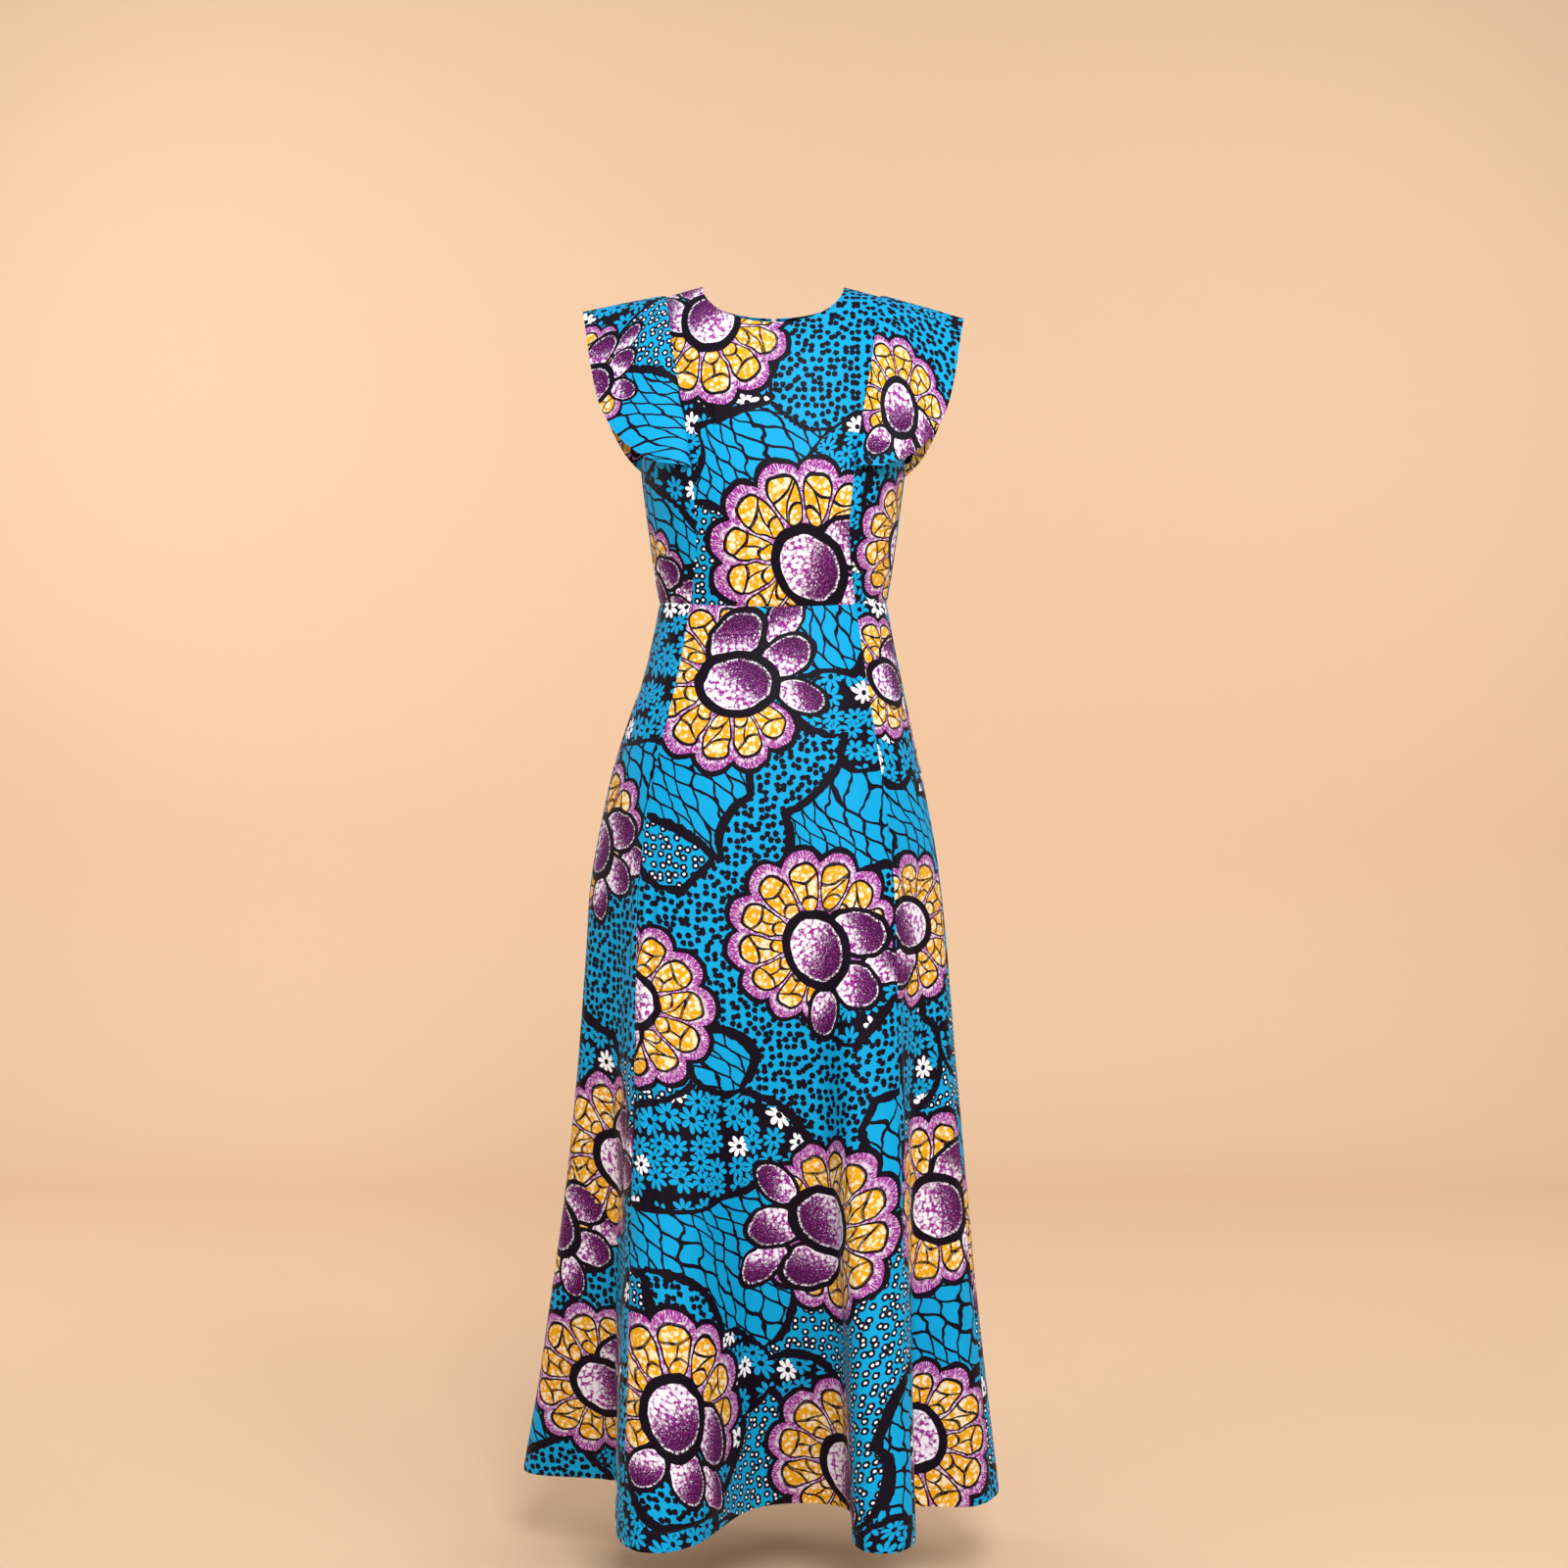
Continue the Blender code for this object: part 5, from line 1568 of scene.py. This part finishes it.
BRASS = (0.78, 0.55, 0.24, 1.0)
TARNISHED = (0.52, 0.34, 0.14, 1.0)
TARNISH_SCALE = 420.0
TARNISH_EDGE = (0.42, 0.66)
BRUSH_SCALES = (5200.0, 5200.0, 300.0)
BRASS_ROUGH, TARNISH_ROUGH, BRUSH_ROUGH = 0.22, 0.20, 0.12


def brass_material():
    """Handled brass: brushed along the zip, with a duller tarnish in patches."""
    made, w, shader = new_material("Zip brass", 0.32, 1.0)
    place = object_place(w)
    tarnish = w.ramp(w.noise(place, TARNISH_SCALE, 3.0, dimensions="3D"), *TARNISH_EDGE)
    brushed = w.noise(w.vector("MULTIPLY", place, BRUSH_SCALES), 1.0, dimensions="3D")
    w.put(shader.inputs["Base Color"], w.paint(tarnish, BRASS, TARNISHED))
    w.put(shader.inputs["Roughness"], w.sum(BRASS_ROUGH, w.product(tarnish, TARNISH_ROUGH),
                                            w.product(brushed, BRUSH_ROUGH)))
    raise_surface(w, shader, brushed, BRASS_BUMP)
    return made


# ---- Rows of stitches and teeth ----------------------------------------------------------------
STITCH_PITCH = 3.1
STITCH_RADII = (0.24, 0.24, 1.25)
ROW_INSET = {"hem": 21.0, "neck": 6.0, "free": 4.5, "fold": 7.5}
ZIP_ROW_INSET = 7.5
BEAD_SEED = 5
BEAD_SEGMENTS = 6
BEAD_RINGS = 4
GEOMETRY, INTEGER = "NodeSocketGeometry", "NodeSocketInt"


def float_sockets(sockets):
    """The float sockets that a random value node shows."""
    return [socket for socket in sockets if socket.type == "VALUE" and socket.enabled]


def bead_tree():
    """Geometry Nodes: small rounded beads in a row along each edge path of a mesh."""
    w, given, out = new_group(
        "Beads along a path",
        [("Path", GEOMETRY, None), ("Pitch", FLOAT, 0.003), ("Radii", VECTOR, None),
         ("Sway", FLOAT, 0.0), ("Uneven", FLOAT, 0.1), ("Seed", INTEGER, BEAD_SEED),
         ("Finish", "NodeSocketMaterial", None)], [("Beads", GEOMETRY)], "GeometryNodeTree")

    def step(kind, geometry=None, **inputs):
        """Adds a geometry node, with the geometry on its first socket, and gives its output."""
        made = w.node(kind, inputs=inputs)
        if geometry is not None:
            w.put(made.inputs[0], geometry)
        return made.outputs[0]

    curve = step("GeometryNodeMeshToCurve", given["Path"])
    spaced = w.node("GeometryNodeResampleCurve", mode="LENGTH",
                    inputs={"Curve": curve, "Length": given["Pitch"]}).outputs[0]
    parity = w.math("FLOORED_MODULO", step("GeometryNodeInputIndex"), 2.0)
    aside = w.product(w.minus(parity, 0.5), given["Sway"])
    swayed = step("GeometryNodeSetPosition", spaced, Offset=w.join(aside, 0.0))
    ball = step("GeometryNodeMeshUVSphere", Segments=BEAD_SEGMENTS, Rings=BEAD_RINGS)
    bead = step("GeometryNodeTransform", ball, Scale=given["Radii"])
    turned = w.node("FunctionNodeAlignRotationToVector", axis="Z",
                    inputs={"Vector": step("GeometryNodeInputTangent")}).outputs[0]
    size = w.node("FunctionNodeRandomValue", data_type="FLOAT", inputs={"Seed": given["Seed"]})
    least, most = float_sockets(size.inputs)[:2]
    w.put(least, w.minus(1.0, given["Uneven"]))
    w.put(most, w.sum(1.0, given["Uneven"]))
    scale = float_sockets(size.outputs)[0]
    row = step("GeometryNodeInstanceOnPoints", swayed, Instance=bead, Rotation=turned,
               Scale=w.join(scale, scale, scale))
    soft = step("GeometryNodeSetShadeSmooth", step("GeometryNodeRealizeInstances", row))
    w.put(out["Beads"], step("GeometryNodeSetMaterial", soft, Material=given["Finish"]))
    return w.tree


def bead_rows(name, paths, pitch, radii, finish, sway=0.0, uneven=0.08):
    """Makes the beads along some paths, given in millimetres, into a plain mesh."""
    vertices, edges = [], []
    for path in paths:
        first = len(vertices)
        vertices.extend(path)
        edges.extend((first + k, first + k + 1) for k in range(len(path) - 1))
    mesh = bpy.data.meshes.new(name)
    mesh.from_pydata((np.array(vertices) * MM).tolist(), edges, [])
    made = bpy.data.objects.new(name, mesh)
    bpy.context.scene.collection.objects.link(made)
    rows = made.modifiers.new("rows", "NODES")
    rows.node_group = GROUPS["beads"]
    values = {"Pitch": pitch * MM, "Radii": [radius * MM for radius in radii], "Sway": sway * MM,
              "Uneven": uneven, "Seed": BEAD_SEED, "Finish": finish}
    for item in GROUPS["beads"].interface.items_tree:
        if item.in_out == "INPUT" and item.name in values:
            rows[item.identifier] = values[item.name]
    ready = made.evaluated_get(bpy.context.evaluated_depsgraph_get())
    beads = bpy.data.meshes.new_from_object(ready)
    beads.name = name
    made.modifiers.clear()
    made.data = beads
    bpy.data.meshes.remove(mesh)
    return made


def inset_line(points, distance):
    """Line over the cloth at some distance from the first row of a grid of points."""
    gone = run_along(points)
    return np.array([[np.interp(distance, gone[:, k], points[:, k, axis]) for axis in range(3)]
                     for k in range(points.shape[1])])


def sewn_rows(cut, outer):
    """Paths of a panel's rows of stitches, on the outer face of its cloth."""
    start, end = outer_edges(cut.across)
    bottom, top = outer_edges(cut.up)
    face = outer[bottom:top + 1, start:end + 1]
    from_edges = (face.transpose(1, 0, 2), face[:, ::-1].transpose(1, 0, 2), face, face[::-1])
    for edge, grid in zip(cut.edges, from_edges):
        if edge in ROW_INSET:
            yield inset_line(grid, ROW_INSET[edge])[1:-1]
    if cut.name.startswith("skirt_back_centre"):
        grid = from_edges[1 if cut.name.endswith("right") else 0]
        line = inset_line(grid, ZIP_ROW_INSET)
        yield line[line[:, 2] > ZIP_END_Z]


def stitch(cut, outer):
    """Stitches of a panel as one piece, or nothing where no row shows."""
    paths = [path for path in sewn_rows(cut, outer) if len(path) > 2]
    if not paths:
        return []
    made = bead_rows("stitches_" + cut.name, paths, STITCH_PITCH, STITCH_RADII,
                     MATERIALS["thread"])
    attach(made, "dress")
    return [made]


# ---- Zip ---------------------------------------------------------------------------------------
TAPE_FACE = -0.58             # top of the tape, from the middle of the solid's cloth
TAPE_SHEET = 0.42
TAPE_PARTING = 0.25
TOOTH_PITCH = 0.72
TOOTH_RADII = (1.45, 0.62, 0.30)
TOOTH_SWAY = 1.1
TOOTH_HEIGHT = 0.04
ZIP_STEP = 4.0
SLIDER_MIDDLE = np.array((0.0, 87.573, -57.13))
SLIDER_OUT = np.array((0.0, 0.9473, 0.3204))
SLIDER_UP = np.array((0.0, -0.3204, 0.9473))
METAL_SHARP = 35.0            # edges that turn by more degrees than this stay sharp

# Slider: its two plates, then the bridge over them.
Plate = namedtuple("Plate", "half_width tail half_length low high edge")
SLIDER_PLATES = (
    Plate(4.0, 2.7, 5.5, 1.15, 2.35, 0.35),
    Plate(2.3, 1.9, 4.4, 2.2, 3.3, 0.3),
)
BRIDGE_STEPS = 12
BRIDGE_HALF_WIDTH = 1.0
BRIDGE_HALF_LENGTH = 3.3
BRIDGE_FOOT = 3.0
BRIDGE_RISE = 3.45
BRIDGE_SQUARE = 0.6
BRIDGE_INNER = (0.70, 0.745)  # length and rise of its inside, as shares of its outside

# Pull tab. Its origin is the pin, and it hangs down from there.
PIN_HEIGHT = 4.6
PULL_SIDES = 44
PIN_RADIUS = 0.6
EYE_HEIGHT = 4.6
EYE_HALF_WIDTH = 1.5
PULL_LENGTH = 24.0
PULL_HALF_WIDTH = 3.4
PULL_EDGE = 0.22
PULL_HALF_THICK = 0.6


def zip_path():
    """Centre back line with its normals, in even steps from below the neck to the zip's end."""
    top = float(top_height(np.array(0.0), "left", "back"))
    heights = np.linspace(top, 0, 90)
    levels = np.linspace(WAIST_Z, ZIP_END_Z, 50)[1:]
    behind, below = np.full_like(heights, 180.0), np.full_like(levels, 180.0)
    points = np.concatenate([torso(behind, heights), skirt(below, levels)])
    normals = np.concatenate([torso_normal(behind, heights), skirt_normal(below, levels)])
    points[:, 0] = 0.0
    gone = run_along(points)
    stations = np.arange(ZIP_START, gone[-1], ZIP_STEP)
    line, out = (np.stack([np.interp(stations, gone, values[:, k]) for k in range(3)], axis=-1)
                 for values in (points, normals))
    out[:, 0] = 0.0
    return line, unit(out)


def make_tapes(line, out):
    """The two halves of the woven zip tape, behind the folded edges of the back."""
    vertices, faces, flat = [], [], []
    half = np.linspace(TAPE_PARTING, TAPE_WIDTH / 2, 9)
    middle = TAPE_FACE - TAPE_SHEET / 2
    for side in (1, -1):
        x = np.sort(side * half)
        grid = line[:, None] + out[:, None] * middle + x[None, :, None] * (1.0, 0.0, 0.0)
        normals = np.repeat(out[:, None], len(x), axis=1)
        faces.extend(sheet_faces(*grid.shape[:2]) + len(vertices))
        vertices.extend(sheet_sides(grid, normals, TAPE_SHEET)[1])
        across, run = np.meshgrid(x, np.arange(len(line)) * ZIP_STEP)
        flat.extend(list(np.stack((across, run), axis=-1).reshape(-1, 2)) * 2)
    made = new_piece("tape_of_zip", vertices, faces)
    corner = read_numbers(made.data.loops, "vertex_index")
    write_map(made.data, "Cloth", np.array(flat)[corner] * MM)
    made.data.materials.append(MATERIALS["tape"])
    return made


def place_metal(form, name, height):
    """Sets a metal piece, modelled as (x, outwards, along the zip), over the zip at a height."""
    for vertex in form.verts:
        x, away, along = vertex.co
        spot = SLIDER_MIDDLE + SLIDER_OUT * (away + height) + SLIDER_UP * along
        vertex.co = Vector((x, spot[1], spot[2])) * MM
    bmesh.ops.recalc_face_normals(form, faces=form.faces[:])
    form.verts.index_update()
    made = new_piece(name, [vertex.co for vertex in form.verts],
                     [[vertex.index for vertex in face.verts] for face in form.faces])
    made.data.set_sharp_from_angle(angle=math.radians(METAL_SHARP))
    made.data.materials.append(MATERIALS["brass"])
    form.free()
    return made


def join_loops(form, first, second, closed=True):
    """Adds the faces between two rows of vertices, all round where they are closed."""
    count = len(first)
    faces = []
    for k in range(count if closed else count - 1):
        following = (k + 1) % count
        faces.append(form.faces.new((first[k], first[following], second[following], second[k])))
    return faces


def rounded_plate(form, outline, low, high, edge):
    """Adds a flat plate with softened edges to a form. Outline runs round in (x, along)."""
    lower = [form.verts.new((x, low, along)) for x, along in outline]
    upper = [form.verts.new((x, high, along)) for x, along in outline]
    flats = [form.faces.new(lower), form.faces.new(upper[::-1])]
    walls = join_loops(form, lower, upper)
    bmesh.ops.recalc_face_normals(form, faces=flats + walls)
    rims = [rim for face in flats for rim in face.edges]
    bmesh.ops.bevel(form, geom=rims, offset=edge, segments=3, profile=0.6, affect="EDGES")


def shield(plate, count=40):
    """Outline of a slider plate: broad shoulders above, a narrower rounded tail below."""
    for k in range(count):
        turn = 2 * math.pi * k / count
        x, along = math.sin(turn), math.cos(turn)
        wide = float(blend(plate.tail, plate.half_width, smooth(-0.9, 0.5, along)))
        yield wide * power(x, 0.55), plate.half_length * power(along, 0.75)


def add_bridge(form):
    """Adds the arch that the pull tab's pin passes under."""
    arch = []
    for k in range(BRIDGE_STEPS + 1):
        turn = math.pi * k / BRIDGE_STEPS
        arch.append((BRIDGE_HALF_LENGTH * power(math.cos(turn), BRIDGE_SQUARE),
                     BRIDGE_RISE * power(math.sin(turn), BRIDGE_SQUARE)))
    shorter, lower = BRIDGE_INNER
    inner = [(along * shorter, rise * lower) for along, rise in arch]
    left_out, left_in, right_out, right_in = (
        [form.verts.new((x, BRIDGE_FOOT + rise, along)) for along, rise in row]
        for x in (-BRIDGE_HALF_WIDTH, BRIDGE_HALF_WIDTH) for row in (arch, inner))
    for first, second in ((left_out, right_out), (right_out, right_in), (right_in, left_in),
                          (left_in, left_out)):
        join_loops(form, first, second, closed=False)
    for k in (0, BRIDGE_STEPS):
        form.faces.new((left_out[k], right_out[k], right_in[k], left_in[k]))


def make_slider():
    """Slider: a shield plate with a boss, and the bridge that holds the pull tab's pin."""
    form = bmesh.new()
    for plate in SLIDER_PLATES:
        rounded_plate(form, list(shield(plate)), plate.low, plate.high, plate.edge)
    add_bridge(form)
    made = place_metal(form, "brass_slider", 0.0)
    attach(made, "dress")
    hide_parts("zip_slider")


def pull_outlines():
    """Outside of the pull tab and its eye, each running round in (x, along)."""
    eye_reach = EYE_HEIGHT / 2
    middle = -PIN_RADIUS - eye_reach
    outer, inner = [], []
    for k in range(PULL_SIDES):
        turn = 2 * math.pi * k / PULL_SIDES
        x, z = math.sin(turn), math.cos(turn)
        wide, reach = PULL_HALF_WIDTH, PULL_LENGTH + middle
        if z >= 0:
            wide, reach = EYE_HALF_WIDTH + 2 * PIN_RADIUS, eye_reach + 2 * PIN_RADIUS
        outer.append((wide * power(x, 0.6), middle + reach * power(z, 0.8)))
        inner.append((EYE_HALF_WIDTH * power(x, 0.6), middle + eye_reach * power(z, 0.6)))
    return np.array(outer), np.array(inner)


def make_pull():
    """Pull tab: its eye's top bar is the pin, and the tab below has softened edges."""
    outer, inner = pull_outlines()
    form = bmesh.new()
    edge, half = PULL_EDGE, PULL_HALF_THICK
    loops = []
    for ring, inset, away in ((outer, edge, half), (outer, 0.0, half - edge),
                              (outer, 0.0, edge - half), (outer, edge, -half),
                              (inner, -edge, -half), (inner, 0.0, edge - half),
                              (inner, 0.0, half - edge), (inner, -edge, half)):
        ahead = unit(np.roll(ring, -1, axis=0) - np.roll(ring, 1, axis=0))
        points = ring + np.stack((ahead[:, 1], -ahead[:, 0]), axis=-1) * inset
        loops.append([form.verts.new((x, away, z)) for x, z in points])
    for first, second in zip(loops, loops[1:] + loops[:1]):
        join_loops(form, first, second)
    made = place_metal(form, "brass_pull_tab", PIN_HEIGHT)
    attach(made, "pull_tab")
    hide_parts("zip_pull")


def make_zip():
    """The tape, teeth, slider and pull tab, each on its body and with its finish."""
    line, out = zip_path()
    tapes = make_tapes(line, out)
    teeth = bead_rows("teeth_of_zip", [line + out * TOOTH_HEIGHT], TOOTH_PITCH, TOOTH_RADII,
                      MATERIALS["teeth"], TOOTH_SWAY, 0.0)
    for made in (tapes, teeth):
        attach(made, "dress")
    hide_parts("zip_chain")
    length = round((len(line) - 1) * ZIP_STEP * MM, 3)
    area = round(2 * (TAPE_WIDTH / 2 - TAPE_PARTING) * MM * length, 4)
    CLOTH_SIZES[tapes.name] = SheetSize(TAPE_WIDTH * MM, length, area)
    make_slider()
    make_pull()


# ---- Stage -------------------------------------------------------------------------------------
FLOOR_Z = -1.50
SWEEP_RADIUS = 0.8
SWEEP_BACK = 3.2
SWEEP_FRONT = -3.4
SWEEP_TOP = 2.6
SWEEP_HALF_WIDTH = 4.2
CAMERA_PLACE = (0.0125, -2.5, -0.576)
CAMERA_LENS = 49.3
SENSOR = 36.0

Lamp = namedtuple("Lamp", "name place aim size power")
LAMPS = (
    Lamp("key_front", (0.35, -3.0, 1.25), (0.0, 0.0, -0.28), (1.0, 1.2), 86),
    Lamp("fill_right", (1.8, -2.4, 0.7), (0.0, 0.0, -0.50), (1.2, 1.8), 30),
    Lamp("fill_left", (-2.3, -1.6, 0.3), (0.0, 0.0, -0.60), (1.0, 1.6), 9),
    Lamp("top_soft", (0.0, -0.9, 2.3), (0.0, 0.0, -0.6), (2.4, 2.0), 17),
    Lamp("wall_left", (-2.2, 1.2, 0.7), (0.0, 3.2, -0.5), (1.2, 2.0), 29),
    Lamp("wall_right", (2.2, 1.2, 0.7), (0.0, 3.2, -0.5), (1.2, 2.0), 18),
    Lamp("low_front", (0.0, -2.8, -1.1), (0.0, 0.0, -0.9), (2.4, 0.7), 3),
)


def stage_floor(looks):
    """Plain pale floor that sweeps up far behind."""
    made, _, shader = new_material("Pale backdrop paper", 0.9)
    shader.inputs["Base Color"].default_value = (*looks.backdrop, 1.0)
    profile = [(SWEEP_FRONT, FLOOR_Z)]
    for turn in np.linspace(0, math.pi / 2, 13):
        profile.append((SWEEP_BACK - SWEEP_RADIUS + SWEEP_RADIUS * math.sin(turn),
                        FLOOR_Z + SWEEP_RADIUS - SWEEP_RADIUS * math.cos(turn)))
    profile.append((SWEEP_BACK, SWEEP_TOP))
    vertices = [(x, y, z) for y, z in profile for x in (-SWEEP_HALF_WIDTH, SWEEP_HALF_WIDTH)]
    faces = [(2 * k, 2 * k + 1, 2 * k + 3, 2 * k + 2) for k in range(len(profile) - 1)]
    floor = new_piece("backdrop", vertices, faces)
    floor.data.materials.append(made)
    floor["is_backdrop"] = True


def stage_lights(looks):
    scene = bpy.context.scene
    for lamp in LAMPS:
        light = bpy.data.lights.new(lamp.name, "AREA")
        light.shape = "RECTANGLE"
        light.size, light.size_y = lamp.size
        light.energy = lamp.power * looks.light
        holder = bpy.data.objects.new(lamp.name, light)
        holder.location = lamp.place
        away = Vector(lamp.aim) - Vector(lamp.place)
        holder.rotation_euler = away.to_track_quat("-Z", "Y").to_euler()
        scene.collection.objects.link(holder)
    world = bpy.data.worlds.new("Studio")
    world.use_nodes = True
    background = world.node_tree.nodes["Background"]
    background.inputs["Color"].default_value = (*looks.room, 1.0)
    background.inputs["Strength"].default_value = looks.room_light
    scene.world = world


def stage_camera():
    data = bpy.data.cameras.new("Camera")
    data.lens = CAMERA_LENS
    data.sensor_width = SENSOR
    holder = bpy.data.objects.new("Camera", data)
    holder.location = CAMERA_PLACE
    holder.rotation_euler = (math.pi / 2, 0.0, 0.0)
    bpy.context.scene.collection.objects.link(holder)
    bpy.context.scene.camera = holder
    bpy.context.scene.view_settings.view_transform = "Standard"


# ---- Settings that a user would change ---------------------------------------------------------
class DressLooks(PropertyGroup):
    cloth_rough: FloatProperty(
        name="Cloth roughness", description="How dull the cotton is", default=0.60, min=0.1,
        max=1.0)
    cloth_thick: FloatProperty(
        name="Cloth thickness", description="Thickness of one layer of cotton, in millimetres",
        default=CLOTH_THICK, min=0.1, max=1.0)
    wing_thick: FloatProperty(
        name="Wing thickness", description="Thickness of a doubled wing, in millimetres",
        default=1.3, min=0.5, max=2.0)
    backdrop: FloatVectorProperty(
        name="Backdrop", description="Colour of the floor and backdrop", subtype="COLOR",
        default=(0.80, 0.570, 0.385), min=0.0, max=1.0)
    room: FloatVectorProperty(
        name="Room", description="Colour of the light from all round", subtype="COLOR",
        default=(1.0, 0.96, 0.90), min=0.0, max=1.0)
    room_light: FloatProperty(
        name="Room light", description="Strength of the light from all round", default=0.36,
        min=0.0, max=5.0)
    light: FloatProperty(
        name="Studio light", description="Scales the power of every lamp", default=1.0, min=0.0,
        max=10.0)


MATERIALS = {}


def looks_of(context):
    return context.scene.dress_looks


class DRESS_OT_finishes(Operator):
    """Make the cloth, thread, tape and brass finishes"""
    bl_idname = "dress.finishes"
    bl_label = "Finishes"

    def execute(self, context):
        GROUPS["crackle"] = crackle_group()
        GROUPS["dye"] = dye_group()
        GROUPS["flower"] = flower_group()
        GROUPS["ground"] = ground_group()
        GROUPS["weave"] = weave_group()
        GROUPS["beads"] = bead_tree()
        MATERIALS["cloth"] = cloth_material(looks_of(context))
        MATERIALS["thread"] = thread_material()
        MATERIALS["tape"] = tape_material()
        MATERIALS["teeth"] = teeth_material()
        MATERIALS["brass"] = brass_material()
        return {"FINISHED"}


def sew(cuts, thick):
    for cut in cuts:
        made, outer = make_panel(cut, thick, MATERIALS["cloth"])
        dress_panel(made, cut, stitch(cut, outer))


class DRESS_OT_bodice(Operator):
    """Cut and sew the bodice panels"""
    bl_idname = "dress.bodice"
    bl_label = "Bodice"

    def execute(self, context):
        sew(cut_bodice(), looks_of(context).cloth_thick)
        return {"FINISHED"}


class DRESS_OT_wings(Operator):
    """Set the four wing pieces into the princess seams"""
    bl_idname = "dress.wings"
    bl_label = "Wing sleeves"

    def execute(self, context):
        sew([cut_wing(side, face) for side in SIDES for face in FACES],
            looks_of(context).wing_thick)
        return {"FINISHED"}


class DRESS_OT_skirt(Operator):
    """Cut and sew the skirt panels"""
    bl_idname = "dress.skirt"
    bl_label = "Skirt"

    def execute(self, context):
        sew(cut_skirt(), looks_of(context).cloth_thick)
        return {"FINISHED"}


class DRESS_OT_zip(Operator):
    """Fit the zip: its tape, teeth, slider and pull tab"""
    bl_idname = "dress.zip"
    bl_label = "Zip"

    def execute(self, context):
        make_zip()
        return {"FINISHED"}


class DRESS_OT_stage(Operator):
    """Set the floor, the lights and the camera"""
    bl_idname = "dress.stage"
    bl_label = "Stage"

    def execute(self, context):
        stage_floor(looks_of(context))
        stage_lights(looks_of(context))
        stage_camera()
        return {"FINISHED"}


OPERATORS = (DRESS_OT_finishes, DRESS_OT_bodice, DRESS_OT_wings, DRESS_OT_skirt, DRESS_OT_zip,
             DRESS_OT_stage)


class DRESS_PT_panel(Panel):
    bl_idname = "DRESS_PT_panel"
    bl_label = "Wax print dress"
    bl_space_type = "VIEW_3D"
    bl_region_type = "UI"
    bl_category = "Dress"

    def draw(self, context):
        for name in DressLooks.__annotations__:
            self.layout.prop(looks_of(context), name)
        for operator in OPERATORS:
            self.layout.operator(operator.bl_idname)


CLASSES = (DressLooks, *OPERATORS, DRESS_PT_panel)


def register():
    for own in CLASSES:
        bpy.utils.register_class(own)
    bpy.types.Scene.dress_looks = PointerProperty(type=DressLooks)


def unregister():
    del bpy.types.Scene.dress_looks
    for own in reversed(CLASSES):
        bpy.utils.unregister_class(own)


def corners(box):
    return [list(corner) for corner in box]


def main():
    register()
    for operator in OPERATORS:
        group, name = operator.bl_idname.split(".")
        getattr(getattr(bpy.ops, group), name)()
    sizes = {"cad": corners(CAD_BOX), "visual": corners(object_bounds())}
    print("size", sizes)


if __name__ == "__main__":
    main()
